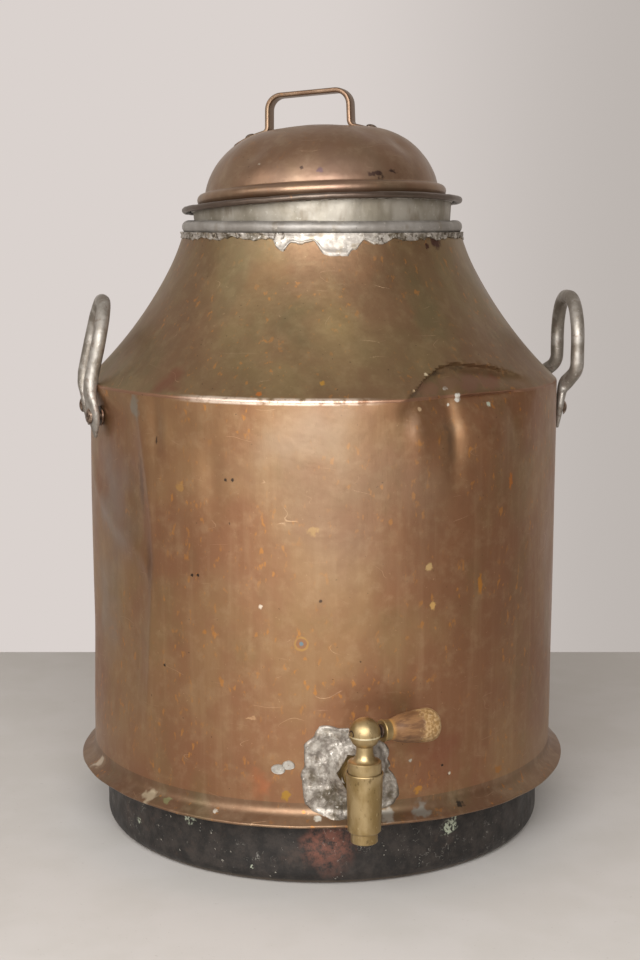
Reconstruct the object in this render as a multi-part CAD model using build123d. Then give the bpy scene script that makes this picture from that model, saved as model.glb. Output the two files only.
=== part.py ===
from build123d import *
import os
from math import asin, atan2, cos, degrees, radians, sin, tan

# Copper range vat with a lift-off lid, two iron side handles and a brass tap.
# Millimetres. +Z is up, the origin is the middle of the base on the surface it stands on,
# the tap looks along -Y and the side handles are at -X and +X.

os.makedirs("parts", exist_ok=True)

# Vessel
body_radius = 210.0
copper_gauge = 1.5
pan_gauge = 2.0
pan_inset = 11.0
pan_corner = 12.0
pan_wall_top = 52.0
flange_top = 76.0
pan_lap = 16.0
shoulder_height = 404.0
shoulder_bend = 2.5
shoulder_lap = 12.0
joggle_rise = 4.0
cone_foot_lean = 47.0
cone_neck_lean = 17.0
flank_top_share = 0.28
neck_height = 531.0
neck_bend = 2.5
neck_seat_width = 8.0
seam_width = 15.0
seam_step = 1.0

# How far a cutting form runs past what it cuts
past = 20.0

# Flange that carries the vat on the edge of a stove opening
flange_straight = 3.0
flange_clear = 5.0
flange_bend = 9.0
flange_lean = 58.0
flange_reach = 9.0
hem_width = 7.0
hem_thickness = 2.6
hem_flat = 0.02

# Neck ring and its bead of solder
neck_bore = 116.0
seat_step = 1.0
ring_width = 8.5
ring_height = 11.0
ring_flat = 3.0
solder_drop = 7.0
solder_proud = 1.6
solder_crest = 3.0
solder_thin = 0.5
solder_bite = 1.0

# Lid, in its own frame: z = 0 is the middle of the wired edge
lid_stand = 13.0
lid_tilt = 3.8
lid_high_side = -60.0
lid_gauge = 1.2
rim_overhang = 9.5
rim_wire_radius = 1.5
rim_roll = 255.0
plate_inside = 14.0
bead_radius = 5.5
bead_inset = 4.5
dome_foot_lean = 12.0
dome_fillet = 2.0
dome_crown_share = 0.62
dome_top = 70.0
skirt_clear = 1.0
skirt_taper = 5.0
skirt_depth = 42.0
lid_solder_width = 4.0

# Lid handle: a strap with a round pad at each foot
strap_span = 79.0
strap_thickness = 4.0
strap_width = 14.0
strap_edge = 1.4
strap_top = 103.0
strap_bend = 9.0
foot_bend = 5.0
pad_rivet_offset = 54.0
pad_shift = 1.0
pad_length = 30.0
pad_width = 18.0
pad_thickness = 3.0
lid_rivet_radius = 2.5
lid_rivet_head = 5.0
lid_rivet_crown = 2.6
lid_rivet_tail = 1.6
lid_rivet_clear = 1.0
lid_rove_thickness = 1.2
lid_rove_clear = 0.3
lid_handle_turn = -23.5

# Side handles: a forged loop with two palms
loop_standoff = 17.0
loop_legs = 88.0
loop_rise = 62.0
loop_corner = 34.0
bar_radius = 6.0
bar_clear = 0.4
bend_start = 23.0
bend_rise = 18.0
bend_radius = 9.0
palm_thickness = 7.0
palm_width = 25.0
palm_top = 21.0
palm_slope = 4.0
palm_waist_drop = 5.0
palm_taper = 1.0
palm_drop = 19.0
palm_edge = 2.0
handle_leans = {"left": 18.0, "right": 0.0}

# Handle rivets
rivet_drop = 27.0
rivet_radius = 4.0
rivet_head = 7.0
rivet_crown = 3.6
rivet_tail = 2.4
rivet_sink = 0.3
rove_radius = 7.5
rove_thickness = 1.5
hole_clearance = 0.1

# Tap
tap_reach = 43.0
waterway_rise = 29.0
barrel_below = 33.0
barrel_above = 12.0
barrel_foot_radius = 12.2
barrel_waist_radius = 13.4
barrel_rim_radius = 14.9
barrel_rim_height = 7.0
bevel = 1.0
nozzle_length = 12.0
nozzle_radius = 9.7
plug_top_radius = 12.0
plug_taper = 0.05
plug_clearance = 0.05
plug_bore = 6.5
plug_crown = 4.0
collar_height = 9.0
neck_stem_radius = 6.7
ball_radius = 10.3
ball_rise = 36.0
ball_band_radius = 10.6
ball_band_width = 1.4
waterway_radius = 5.0
shank_radius = 9.0
shank_inside = 8.0
shank_collar_radius = 12.5
shank_collar_width = 4.0
shank_neck_radius = 8.0
boss_radius = 21.0
boss_thickness = 4.0
boss_hex = 30.0
boss_hex_length = 9.0
port_turn = 112.5

# Tap lever
lever_turn = 22.5
lever_dip = 5.5
rod_radius = 3.5
rod_recess = 1.0
rod_collar_gap = 0.6
rod_collar_radius = 5.5
rod_collar_width = 2.4
ferrule_start = 14.0
ferrule_length = 6.5
ferrule_radius = 8.8
ferrule_wall = 1.2
wood_recess = 2.5
wood_length = 49.0
wood_neck_radius = 7.9
wood_neck_length = 9.5
wood_belly_radius = 13.2
wood_swell_length = 27.0
wood_end_share = 0.8
rod_depth = 34.0

# Solder round the tap, as its reach from the middle of the boss at even bearings
tap_solder_thickness = 2.6
tap_solder_clear = 0.5
tap_solder_reach = [28.0, 30.0, 36.0, 34.0, 43.0, 39.0, 36.0, 38.0, 42.0, 40.0, 39.0, 31.0]

# Heights and places that follow from those sizes
body_inner = body_radius - copper_gauge
neck_radius = neck_bore + neck_seat_width
skirt_radius = neck_bore - skirt_clear
lid_rim_radius = skirt_radius + rim_overhang
lid_flange_inner = skirt_radius - plate_inside
bead_reach = skirt_radius - bead_inset
pan_radius = body_radius - pan_inset
rivet_height = shoulder_height - rivet_drop
bend_low = rivet_height + bend_start
bend_high = bend_low + bend_rise
palm_shoulder = rivet_height + palm_top
palm_waist = rivet_height - palm_waist_drop
palm_tip = rivet_height - palm_drop
lid_height = neck_height + ring_height + lid_stand
plug_axis_y = -body_radius - tap_reach
waterway_height = flange_top + waterway_rise
barrel_bottom = waterway_height - barrel_below
barrel_top = waterway_height + barrel_above
nozzle_bottom = barrel_bottom - nozzle_length
ball_height = barrel_top + ball_rise


def beside(edge, place, gauge):
    """Point at a distance to the left of an edge, or to the right where it is negative."""
    ahead = edge % place
    return (edge @ place) + Vector(-ahead.Y, ahead.X) * gauge


def other_face(edge, gauge):
    """The far face of a sheet whose near face is the edge."""
    first, last = beside(edge, 0, gauge), beside(edge, 1, gauge)
    if edge.geom_type == GeomType.LINE:
        return Line(first, last)
    return ThreePointArc(first, beside(edge, 0.5, gauge), last)


def sheet(edges, gauge):
    """Section of a sheet of even gauge; it lies to the left of lines and arcs that run on smoothly."""
    near, far = edges, [other_face(edge, gauge) for edge in edges]
    ends = [Line(near[0] @ 0, far[0] @ 0), Line(near[-1] @ 1, far[-1] @ 1)]
    return make_face(Wire([*near, *far, *ends]).edges())


def joggle_bends(start, end):
    """Two equal bends that shift a wall sideways between two upright runs."""
    aside, rise = end[0] - start[0], end[1] - start[1]
    angle = 2 * atan2(aside, rise)
    radius = rise / (2 * sin(angle))
    out = JernArc(start=start, tangent=(0, 1), radius=radius, arc_size=-degrees(angle))
    return [out, JernArc(start=out @ 1, tangent=out % 1, radius=radius, arc_size=degrees(angle))]


def two_arcs(start, heading, end, end_heading, share):
    """Smooth pair of arcs between two headings; share is the second one's run next to the first one's."""
    start, heading, end, end_heading = (Vector(*v) for v in (start, heading, end, end_heading))
    across = end - start
    turn = 2 * share * (heading.dot(end_heading) - 1)
    along = across.dot(heading + end_heading * share)
    run = (along - (along ** 2 - turn * across.dot(across)) ** 0.5) / turn
    meeting = ((start + heading * run) * share + end - end_heading * (share * run)) / (1 + share)
    first = TangentArc(start, meeting, tangent=heading)
    return [first, TangentArc(meeting, end, tangent=first % 1)]


def spin(section):
    """Turned form of a section drawn with radius along x and height along y."""
    return revolve(Plane.XZ * section, Axis.Z)


def block(edges, closing):
    """Turned form that fills everything from the axis out to the edges."""
    ends = Polyline(*closing)
    return spin(make_face(Wire(list(edges) + ends.edges()).edges()))


def tube(outer, inner, low, high):
    """Ring with a vertical axis."""
    height = high - low
    ring = Cylinder(outer, height) - Cylinder(inner, height)
    return Pos(0, 0, (low + high) / 2) * ring


def rod(radius, start, end):
    """Round bar between two points."""
    run = Vector(*end) - Vector(*start)
    plane = Plane(origin=start, z_dir=run)
    return extrude(plane * Circle(radius), run.length)


def rivet(head, height, shank, grip, tail):
    """Round-headed rivet on Z: its head stands on z = 0 and its tail is below -grip."""
    crown = (head ** 2 + height ** 2) / (2 * height)
    half = asin(head / crown) / 2
    outline = Polyline((0, height), (0, -grip - tail), (shank, -grip - tail / 2), (shank, 0), (head, 0))
    dome = ThreePointArc((head, 0), (crown * sin(half), crown * cos(half) - crown + height), (0, height))
    return spin(make_face([*outline.edges(), dome]))


def node(name, *solids):
    """Write one sub-part."""
    shape = solids[0] if len(solids) == 1 else Compound(children=list(solids))
    export_step(shape, f"parts/{name}.step")


# Base pan: deep-drawn, with a joggled rim that stands up inside the body
pan_floor = Line((0, 0), (pan_radius - pan_corner, 0))
pan_turn = TangentArc(pan_floor @ 1, (pan_radius, pan_corner), tangent=pan_floor % 1)
pan_wall = Line(pan_turn @ 1, (pan_radius, pan_wall_top))
joggle_end = (body_inner, flange_top - flange_straight - flange_clear)
pan_joggle = joggle_bends((pan_radius, pan_wall_top), joggle_end)
pan_rim = Line(pan_joggle[1] @ 1, (body_inner, flange_top + pan_lap))
base_pan = spin(sheet([pan_floor, pan_turn, pan_wall, *pan_joggle, pan_rim], pan_gauge))
node("base_pan", base_pan)

# Flange: starts flush below the body wall, flares out and ends in a folded hem
flare_start = Line((body_radius, flange_top), (body_radius, flange_top - flange_straight))
flare_bend = JernArc(start=flare_start @ 1, tangent=(0, -1), radius=flange_bend, arc_size=flange_lean)
lean_vector = Vector(sin(radians(flange_lean)), -cos(radians(flange_lean)))
flare_run = Line(flare_bend @ 1, (flare_bend @ 1) + lean_vector * flange_reach)
flange_section = sheet([flare_start, flare_bend, flare_run], -copper_gauge)
hem_side = Vector(-lean_vector.Y, lean_vector.X)
hem_middle = (flare_run @ 1) - lean_vector * (hem_width / 2) - hem_side * (hem_thickness / 2)
hem = Pos(hem_middle.X, hem_middle.Y) * Rot(0, 0, flange_lean - 90) * RectangleRounded(
    hem_width, hem_thickness, (hem_thickness - hem_flat) / 2
)
base_flange = spin(flange_section + hem)
node("base_flange", base_flange)

# Frames of the four handle palms, as bearings round the vat
palm_angle = degrees(asin(loop_legs / 2 / body_radius))
palm_bearings = {
    "right": [-palm_angle, palm_angle],
    "left": [180 - palm_angle, 180 + palm_angle],
}


def rivet_hole(bearing):
    """Hole for a handle rivet through palm and wall."""
    ends = [(body_inner - past, 0, rivet_height), (body_radius + past, 0, rivet_height)]
    return Rot(0, 0, bearing) * rod(rivet_radius + hole_clearance, *ends)


handle_holes = [rivet_hole(a) for side in palm_bearings.values() for a in side]

# Body wall: a rolled sheet whose upright seam is lapped at the back
joggle_top = shoulder_height - shoulder_bend * sin(radians(cone_foot_lean))
body_top = joggle_top - joggle_rise
body_shell = tube(body_radius, body_inner, flange_top, body_top)
seam = tube(body_radius + seam_step, body_radius, flange_top, body_top)
seam &= Pos(0, body_radius, (flange_top + body_top) / 2) * Box(seam_width, past, body_top - flange_top)
tap_hole = rod(shank_radius + hole_clearance, (0, -body_inner + past, waterway_height),
               (0, -body_radius - past, waterway_height))
body_shell = body_shell + seam - tap_hole
for hole in handle_holes:
    body_shell -= hole
node("body_shell", body_shell)

# Shoulder cone: collar inside the body wall, crease, hollow flank and turned-in seat
collar = Line((body_inner, body_top - shoulder_lap), (body_inner, body_top))
joggle = joggle_bends((body_inner, body_top), (body_radius, joggle_top))
crease = JernArc(start=joggle[1] @ 1, tangent=(0, 1), radius=shoulder_bend, arc_size=cone_foot_lean)
neck_lean = radians(cone_neck_lean)
flank_top = (neck_radius, neck_height - neck_bend * (1 - sin(neck_lean)))
flank = two_arcs(crease @ 1, crease % 1, flank_top, (-sin(neck_lean), cos(neck_lean)), flank_top_share)
seat_start = (neck_radius - neck_bend * cos(neck_lean), neck_height)
neck_turn = TangentArc(flank[1] @ 1, seat_start, tangent=flank[1] % 1)
seat = Line(neck_turn @ 1, (neck_bore + seat_step, neck_height))
cone_edges = [collar, *joggle, crease, *flank, neck_turn, seat]
shoulder_cone = spin(sheet(cone_edges, copper_gauge))
node("shoulder_cone", shoulder_cone)

# Neck ring: half-round bar on the cone's seat
ring_middle = neck_height + ring_height / 2
ring_outer = neck_bore + ring_width
ring_corner = neck_bore + ring_flat
ring_top = neck_height + ring_height
ring_face = Polyline(
    (ring_corner, ring_top), (neck_bore, ring_top), (neck_bore, neck_height), (ring_corner, neck_height)
)
ring_round = ThreePointArc((ring_corner, neck_height), (ring_outer, ring_middle), (ring_corner, ring_top))
neck_ring = spin(make_face([*ring_face.edges(), ring_round]))
node("neck_ring", neck_ring)

# Solder under the ring: fills the groove between ring and cone
cone_fill = block(cone_edges, [seat @ 1, (0, neck_height), (0, body_top - shoulder_lap), collar @ 0])
solder_outer = ring_outer + solder_proud
solder_foot = neck_height - solder_drop
neck_solder = spin(Polygon(
    (ring_corner, neck_height),
    (ring_outer - solder_thin, neck_height + solder_crest),
    (solder_outer, neck_height - solder_proud),
    (solder_outer + solder_drop * tan(neck_lean), solder_foot),
    (neck_radius - 2 * solder_bite, solder_foot - solder_bite),
    (ring_corner, neck_height - solder_bite),
    align=None,
))
neck_solder = neck_solder - cone_fill - neck_ring
node("neck_solder", neck_solder)


def palm(bearing):
    """Flattened foot of a handle: lies on the wall and narrows to a point."""
    palm_half = palm_width / 2
    palm_end = palm_shoulder + bar_radius
    outline = Polyline(
        (-bar_radius, palm_end), (-palm_half, palm_shoulder - palm_slope),
        (palm_taper - palm_half, palm_waist), (0, palm_tip), (palm_half - palm_taper, palm_waist),
        (palm_half, palm_shoulder - palm_slope), (bar_radius, palm_end), (-bar_radius, palm_end),
    )
    plate = extrude(Plane.YZ * make_face(outline.edges()), body_radius + past)
    thick = palm_thickness
    skin = spin(Polygon(
        (body_radius, palm_tip - palm_taper), (body_radius + palm_edge, palm_tip - palm_taper),
        (body_radius + thick, palm_waist + palm_slope), (body_radius + thick, palm_end + palm_taper),
        (body_radius, palm_end + palm_taper), align=None,
    ))
    return Rot(0, 0, bearing) * (plate & skin)


def side_handle(bearings, lean):
    """Loop with its two palms; lean tips the loop in towards the lid."""
    middle = sum(bearings) / 2
    bar_line = body_radius + bar_radius + bar_clear
    half = loop_legs / 2
    feet = []
    for sign in (-1, 1):
        out = Vector(bar_line, 0, 0).rotate(Axis.Z, sign * palm_angle)
        feet.append([(out.X, out.Y, palm_shoulder - 2 * palm_slope), (out.X, out.Y, bend_low)])
    hinge = Vector(body_radius + loop_standoff, 0, bend_high)
    rise = loop_rise - bar_radius
    top_in = Vector(-sin(radians(lean)), 0, cos(radians(lean))) * rise
    low = [hinge + Vector(0, sign * half, 0) for sign in (-1, 1)]
    high = [p + top_in for p in low]
    path = FilletPolyline(
        feet[0][0], feet[0][1], low[0], high[0], high[1], low[1], feet[1][1], feet[1][0],
        radius=[bend_radius, bend_radius, loop_corner, loop_corner, bend_radius, bend_radius],
    )
    loop = sweep(Plane(origin=path @ 0, z_dir=path % 0) * Circle(bar_radius), path=path)
    bar = Rot(0, 0, middle) * loop
    handle = bar + palm(bearings[0]) + palm(bearings[1])
    for bearing in bearings:
        handle -= rivet_hole(bearing)
    return handle


def handle_rivet(bearing):
    """Copper rivet through a palm, with its head seated on the palm."""
    grip = palm_thickness + copper_gauge + rove_thickness
    pin = rivet(rivet_head, rivet_crown, rivet_radius, grip, rivet_tail)
    pin = Pos(body_radius + palm_thickness - rivet_sink, 0, rivet_height) * Rot(0, 90, 0) * pin
    head_seat = tube(body_radius + palm_thickness, body_inner, rivet_height - past, rivet_height + past)
    head_seat -= rod(rivet_radius, (0, 0, rivet_height), (body_radius + past, 0, rivet_height))
    return Rot(0, 0, bearing) * (pin - head_seat)


def handle_rove(bearing):
    """Copper washer over the rivet's tail, dished to the inside of the wall."""
    washer = rod(rove_radius, (body_inner - past, 0, rivet_height), (body_radius, 0, rivet_height))
    washer &= tube(body_inner, body_inner - rove_thickness, rivet_height - past, rivet_height + past)
    return Rot(0, 0, bearing) * washer - rivet_hole(bearing)


for side, bearings in palm_bearings.items():
    node(f"{side}_handle", side_handle(bearings, handle_leans[side]))
    node(f"{side}_handle_rivets", *[handle_rivet(a) for a in bearings])
    node(f"{side}_handle_roves", *[handle_rove(a) for a in bearings])

# Lid pieces are drawn level, then set askew in the neck as the photograph shows them
lid_set = Rot(0, 0, lid_high_side) * Rot(0, -lid_tilt, 0) * Rot(0, 0, -lid_high_side)
lid_place = Pos(0, 0, lid_height) * lid_set
roll_radius = rim_wire_radius + lid_gauge
wire_circle = lid_rim_radius - roll_radius
flange_plane = roll_radius

lid_plate = Line((lid_flange_inner, flange_plane), (wire_circle, flange_plane))
lid_roll = JernArc(start=lid_plate @ 1, tangent=(1, 0), radius=roll_radius, arc_size=-rim_roll)
lid_flange = spin(sheet([lid_plate, lid_roll], -lid_gauge))
lid_rim_wire = spin(Pos(wire_circle, 0) * Circle(rim_wire_radius))

bead_start = (bead_reach - bead_radius, flange_plane)
bead_top = flange_plane + 2 * bead_radius
foot_lean = radians(dome_foot_lean)
dome_foot = (bead_start[0] - dome_fillet * cos(foot_lean), bead_top + dome_fillet * (1 - sin(foot_lean)))
lid_bead = TangentArc(bead_start, (bead_start[0], bead_top), tangent=(1, 0))
dome_turn = TangentArc(lid_bead @ 1, dome_foot, tangent=(-1, 0))
dome_arcs = two_arcs(dome_turn @ 1, dome_turn % 1, (0, dome_top), (-1, 0), dome_crown_share)
dome_wall = Wire(dome_arcs)
dome_edges = [lid_bead, dome_turn, *dome_arcs]
lid_dome = spin(sheet(dome_edges, lid_gauge))
dome_fill = block(dome_edges, [(0, dome_top), (0, flange_plane), bead_start])

skirt_slope = tan(radians(skirt_taper))
skirt_top = flange_plane - lid_gauge
skirt_low = skirt_top - skirt_depth
skirt_face = Line((skirt_radius - skirt_depth * skirt_slope, skirt_low), (skirt_radius, skirt_top))
lid_skirt = spin(make_face(Wire([
    skirt_face,
    Line(skirt_face @ 1, (skirt_radius - copper_gauge, skirt_top)),
    Line((skirt_radius - copper_gauge, skirt_top), (skirt_face @ 0) - Vector(copper_gauge, 0)),
    Line((skirt_face @ 0) - Vector(copper_gauge, 0), skirt_face @ 0),
]).edges()))
lid_solder = spin(make_face(Polyline(
    (skirt_radius, skirt_top), (skirt_radius + lid_solder_width, skirt_top),
    (skirt_radius - lid_solder_width * skirt_slope, skirt_top - lid_solder_width), (skirt_radius, skirt_top),
).edges()))


def dome_height(radius):
    """Height of the dome's outer face at a radius."""
    ray = Line((radius, dome_top / 3), (radius, dome_top + past))
    return ray.distance_to_with_closest_points(dome_wall)[1].Y


leg_x = (strap_span - strap_thickness) / 2
leg_foot = dome_height(leg_x) + strap_thickness / 2
pad_foot = dome_height(pad_rivet_offset) + strap_thickness / 2
strap_path = FilletPolyline(
    (-pad_rivet_offset, 0, pad_foot), (-leg_x, 0, leg_foot), (-leg_x, 0, strap_top - strap_thickness / 2),
    (leg_x, 0, strap_top - strap_thickness / 2), (leg_x, 0, leg_foot), (pad_rivet_offset, 0, pad_foot),
    radius=[foot_bend, strap_bend, strap_bend, foot_bend],
)
strap_section = Plane(origin=strap_path @ 0, x_dir=(0, 1, 0), z_dir=strap_path % 0) * RectangleRounded(
    strap_width, strap_thickness, strap_edge
)
strap = sweep(strap_section, path=strap_path)
pad_skin = Pos(0, 0, pad_thickness) * dome_fill - dome_fill
pads = []
for sign in (-1, 1):
    outline = Pos(sign * (pad_rivet_offset - pad_shift), 0) * SlotOverall(pad_length, pad_width)
    pads.append(extrude(outline, dome_top + past) & pad_skin)
lid_handle = strap - dome_fill + pads[0] + pads[1]

pad_half = pad_length / 2
rivet_slope = degrees(atan2(
    dome_height(pad_rivet_offset - pad_half) - dome_height(pad_rivet_offset + pad_half), pad_length
))
lid_rivets = []
lid_roves = []
for sign in (-1, 1):
    seat_place = Pos(sign * pad_rivet_offset, 0, dome_height(pad_rivet_offset))
    seat_place *= Rot(0, sign * rivet_slope, 0)
    hole = seat_place * Cylinder(lid_rivet_radius + hole_clearance, 2 * past)
    lid_dome -= hole
    lid_handle -= hole
    stack = strap_thickness + lid_rivet_clear
    grip = stack + lid_gauge + lid_rove_clear + lid_rove_thickness
    pin = rivet(lid_rivet_head, lid_rivet_crown, lid_rivet_radius, grip, lid_rivet_tail)
    lid_rivets.append(seat_place * Pos(0, 0, stack) * pin)
    rove_middle = -lid_gauge - lid_rove_clear - lid_rove_thickness / 2
    rove = Cylinder(lid_rivet_head, lid_rove_thickness)
    rove -= Cylinder(lid_rivet_radius + hole_clearance, lid_rove_thickness)
    lid_roves.append(seat_place * Pos(0, 0, rove_middle) * rove)

turn = Rot(0, 0, lid_handle_turn)
for name, solids in {
    "lid_dome": [turn * lid_dome],
    "lid_flange": [lid_flange],
    "lid_rim_wire": [lid_rim_wire],
    "lid_skirt": [lid_skirt],
    "lid_solder": [lid_solder],
    "lid_handle": [turn * lid_handle],
    "lid_handle_rivets": [turn * p for p in lid_rivets],
    "lid_handle_roves": [turn * p for p in lid_roves],
}.items():
    node(name, *[lid_place * p for p in solids])

# Tap body: tapered barrel, hollow shank and shoulder, in one casting
tap_place = Pos(0, plug_axis_y, 0)
seat_top_radius = plug_top_radius + plug_clearance
barrel_length = barrel_top - barrel_bottom
seat_foot_radius = seat_top_radius - barrel_length * plug_taper
rim_low = barrel_top - barrel_rim_height
barrel = tap_place * spin(make_face(Polyline(
    (0, barrel_bottom), (barrel_foot_radius - bevel, barrel_bottom),
    (barrel_foot_radius, barrel_bottom + bevel), (barrel_waist_radius, rim_low - 2 * bevel),
    (barrel_rim_radius, rim_low), (barrel_rim_radius, barrel_top - bevel),
    (barrel_rim_radius - bevel, barrel_top), (0, barrel_top), (0, barrel_bottom),
).edges()))
boss_face = -body_radius - boss_thickness
hex_face = boss_face - boss_hex_length
shank_end = -body_radius + shank_inside
waterway = [(0, plug_axis_y, waterway_height), (0, shank_end, waterway_height)]
shank_stop = (0, hex_face, waterway_height)
shank = rod(shank_radius, (0, hex_face - bevel, waterway_height), waterway[1])
shank += rod(shank_collar_radius, (0, hex_face - shank_collar_width, waterway_height), shank_stop)
shank += rod(shank_neck_radius, waterway[0], shank_stop)
plug_seat = tap_place * spin(make_face(Polyline(
    (0, barrel_bottom), (seat_foot_radius, barrel_bottom), (seat_top_radius, barrel_top),
    (0, barrel_top), (0, barrel_bottom),
).edges()))
tap_body = barrel + shank - plug_seat - rod(waterway_radius, *waterway)
node("tap_body", tap_body)

# Socket that is soldered to the wall and takes the shank
boss_back = -body_radius + boss_thickness
boss_disc = rod(boss_radius, (0, boss_back, waterway_height), (0, boss_face, waterway_height))
hex_plane = Plane(origin=(0, boss_face, waterway_height), z_dir=(0, -1, 0))
hexagon = RegularPolygon(boss_hex / 2, 6, major_radius=False, rotation=30)
boss_nut = extrude(hex_plane * hexagon, boss_hex_length)
tap_boss = boss_disc + boss_nut
tap_boss -= tube(body_radius, body_radius - past, waterway_height - 2 * past, waterway_height + 2 * past)
tap_boss -= rod(shank_radius + hole_clearance, (0, 0, waterway_height), (0, hex_face - past, waterway_height))
node("tap_boss", tap_boss)

# Ragged solder on the wall round the socket; it stops above the flange
solder_bearings = [radians(360 * turn / len(tap_solder_reach)) for turn in range(len(tap_solder_reach))]
solder_outline = Spline([
    (reach * cos(bearing), waterway_height + reach * sin(bearing))
    for bearing, reach in zip(solder_bearings, tap_solder_reach)
], periodic=True)
solder_slab = extrude(Plane.XZ * make_face(solder_outline.edges()), body_radius + past)
solder_top = waterway_height + max(tap_solder_reach) + past
solder_skin = tube(body_radius + tap_solder_thickness, body_radius, flange_top + tap_solder_clear, solder_top)
tap_solder = solder_slab & solder_skin
tap_solder -= rod(boss_radius, (0, 0, waterway_height), (0, -body_radius - past, waterway_height))
node("tap_solder", tap_solder)

# Tap key: hollow taper plug with a side port, an open nozzle below and a ball head
lever_aim = Rot(0, 0, lever_turn) * Rot(0, lever_dip, 0)
lever_place = Pos(0, plug_axis_y, ball_height) * lever_aim * Rot(0, 90, 0)
plug_foot_radius = plug_top_radius - barrel_length * plug_taper
collar_top = barrel_top + collar_height
ball_join = ball_height - (ball_radius ** 2 - neck_stem_radius ** 2) ** 0.5
plug = spin(make_face(Polyline(
    (0, nozzle_bottom), (nozzle_radius, nozzle_bottom), (nozzle_radius, barrel_bottom),
    (plug_foot_radius, barrel_bottom), (plug_top_radius, barrel_top),
    (plug_top_radius, collar_top - bevel), (plug_top_radius - bevel, collar_top),
    (neck_stem_radius, collar_top + bevel), (neck_stem_radius, ball_join + bevel),
    (0, ball_join + bevel), (0, nozzle_bottom),
).edges()))
plug += Pos(0, 0, ball_height) * Sphere(ball_radius)
plug += Pos(0, 0, ball_height) * Cylinder(ball_band_radius, ball_band_width)
bore_top = barrel_top - plug_crown
plug -= Pos(0, 0, (nozzle_bottom + bore_top) / 2) * Cylinder(plug_bore, bore_top - nozzle_bottom)
port = rod(waterway_radius, (0, 0, waterway_height), (0, plug_top_radius + past, waterway_height))
plug -= Rot(0, 0, port_turn) * port
plug = tap_place * plug
rod_hole = lever_place * Cylinder(rod_radius + hole_clearance, 2 * past)
node("tap_plug", plug - rod_hole)


def lever_solid(outline):
    """Turned piece on the lever's axis, drawn as radius and distance from the ball's middle."""
    return lever_place * spin(make_face(Polyline(*outline, outline[0]).edges()))


rod_end = ferrule_start + wood_recess + rod_depth
collar_start = ball_radius + rod_collar_gap
tap_rod = lever_solid([
    (0, rod_recess - ball_radius), (rod_radius, rod_recess - ball_radius), (rod_radius, collar_start),
    (rod_collar_radius, collar_start), (rod_collar_radius, collar_start + rod_collar_width),
    (rod_radius, collar_start + rod_collar_width), (rod_radius, rod_end), (0, rod_end),
])
node("tap_rod", tap_rod)

ferrule_inner = ferrule_radius - ferrule_wall
ferrule_end = ferrule_start + ferrule_length
tap_ferrule = lever_solid([
    (ferrule_inner, ferrule_start), (ferrule_radius, ferrule_start),
    (ferrule_radius, ferrule_end), (ferrule_inner, ferrule_end),
])
node("tap_ferrule", tap_ferrule)

wood_start = ferrule_start + wood_recess
wood_end = wood_start + wood_length
neck_end = ferrule_end + wood_neck_length
belly = neck_end + wood_swell_length
wood_tail = Polyline(
    (0, wood_end), (0, wood_start), (ferrule_inner, wood_start), (ferrule_inner, ferrule_end)
)
wood_section = make_face(Wire([
    *wood_tail.edges(),
    Line((ferrule_inner, ferrule_end), (wood_neck_radius, neck_end)),
    *joggle_bends((wood_neck_radius, neck_end), (wood_belly_radius, belly)),
    *two_arcs((wood_belly_radius, belly), (0, 1), (0, wood_end), (-1, 0), wood_end_share),
]).edges())
rod_socket = Pos(0, 0, (wood_start + rod_end) / 2) * Cylinder(rod_radius, rod_end - wood_start)
tap_handle = lever_place * (spin(wood_section) - rod_socket)
node("tap_handle", tap_handle)
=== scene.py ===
"""Looks of an old copper range vat: dented sheet, ragged solder, forged iron, tarnished brass and worn wood."""

import logging
import math
from dataclasses import dataclass, field, replace
from enum import Enum
from functools import cached_property, reduce
from typing import Any, Sequence

import bmesh
import bpy
import numpy as np
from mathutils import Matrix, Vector

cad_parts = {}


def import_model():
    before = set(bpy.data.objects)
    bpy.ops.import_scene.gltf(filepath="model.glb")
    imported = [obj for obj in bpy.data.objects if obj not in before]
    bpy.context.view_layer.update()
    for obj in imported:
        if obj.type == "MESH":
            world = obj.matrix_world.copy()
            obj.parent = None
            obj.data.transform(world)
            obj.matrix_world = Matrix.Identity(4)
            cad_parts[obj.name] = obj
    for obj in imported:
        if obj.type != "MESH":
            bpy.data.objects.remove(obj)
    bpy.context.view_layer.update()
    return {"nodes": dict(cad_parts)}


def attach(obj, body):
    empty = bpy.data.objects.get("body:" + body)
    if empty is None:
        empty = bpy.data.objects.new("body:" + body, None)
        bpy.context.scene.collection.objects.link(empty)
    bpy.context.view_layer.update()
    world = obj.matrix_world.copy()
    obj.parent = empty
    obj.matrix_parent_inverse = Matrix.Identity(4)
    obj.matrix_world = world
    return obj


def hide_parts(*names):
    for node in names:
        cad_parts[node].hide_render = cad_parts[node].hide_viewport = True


log = logging.getLogger("copper_vat")

MM = 0.001

Vec3 = tuple[float, float, float]


class Body(str, Enum):
    """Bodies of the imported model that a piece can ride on."""

    VAT = "vat"
    LID = "lid"
    KEY = "tap_key"


class Slot(str, Enum):
    """Material slots of the record."""

    COPPER = "copper"
    BLACKENED = "blackened_copper"
    TINNED = "tinned_iron"
    SOLDER = "solder"
    IRON = "wrought_iron"
    RIVET = "copper_rivet"
    BRASS = "tap_brass"
    WOOD = "turned_wood"


def linear(code: str) -> tuple[float, float, float, float]:
    """Turn an sRGB hex value such as 8a5a3c into linear light.

    Args:
        code: Six hex digits.

    Returns:
        Red, green, blue and an alpha of one.
    """
    shares = [int(code[i:i + 2], 16) / 255 for i in (0, 2, 4)]
    light = [s / 12.92 if s <= 0.04045 else ((s + 0.055) / 1.055) ** 2.4 for s in shares]
    return light[0], light[1], light[2], 1.0


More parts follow.
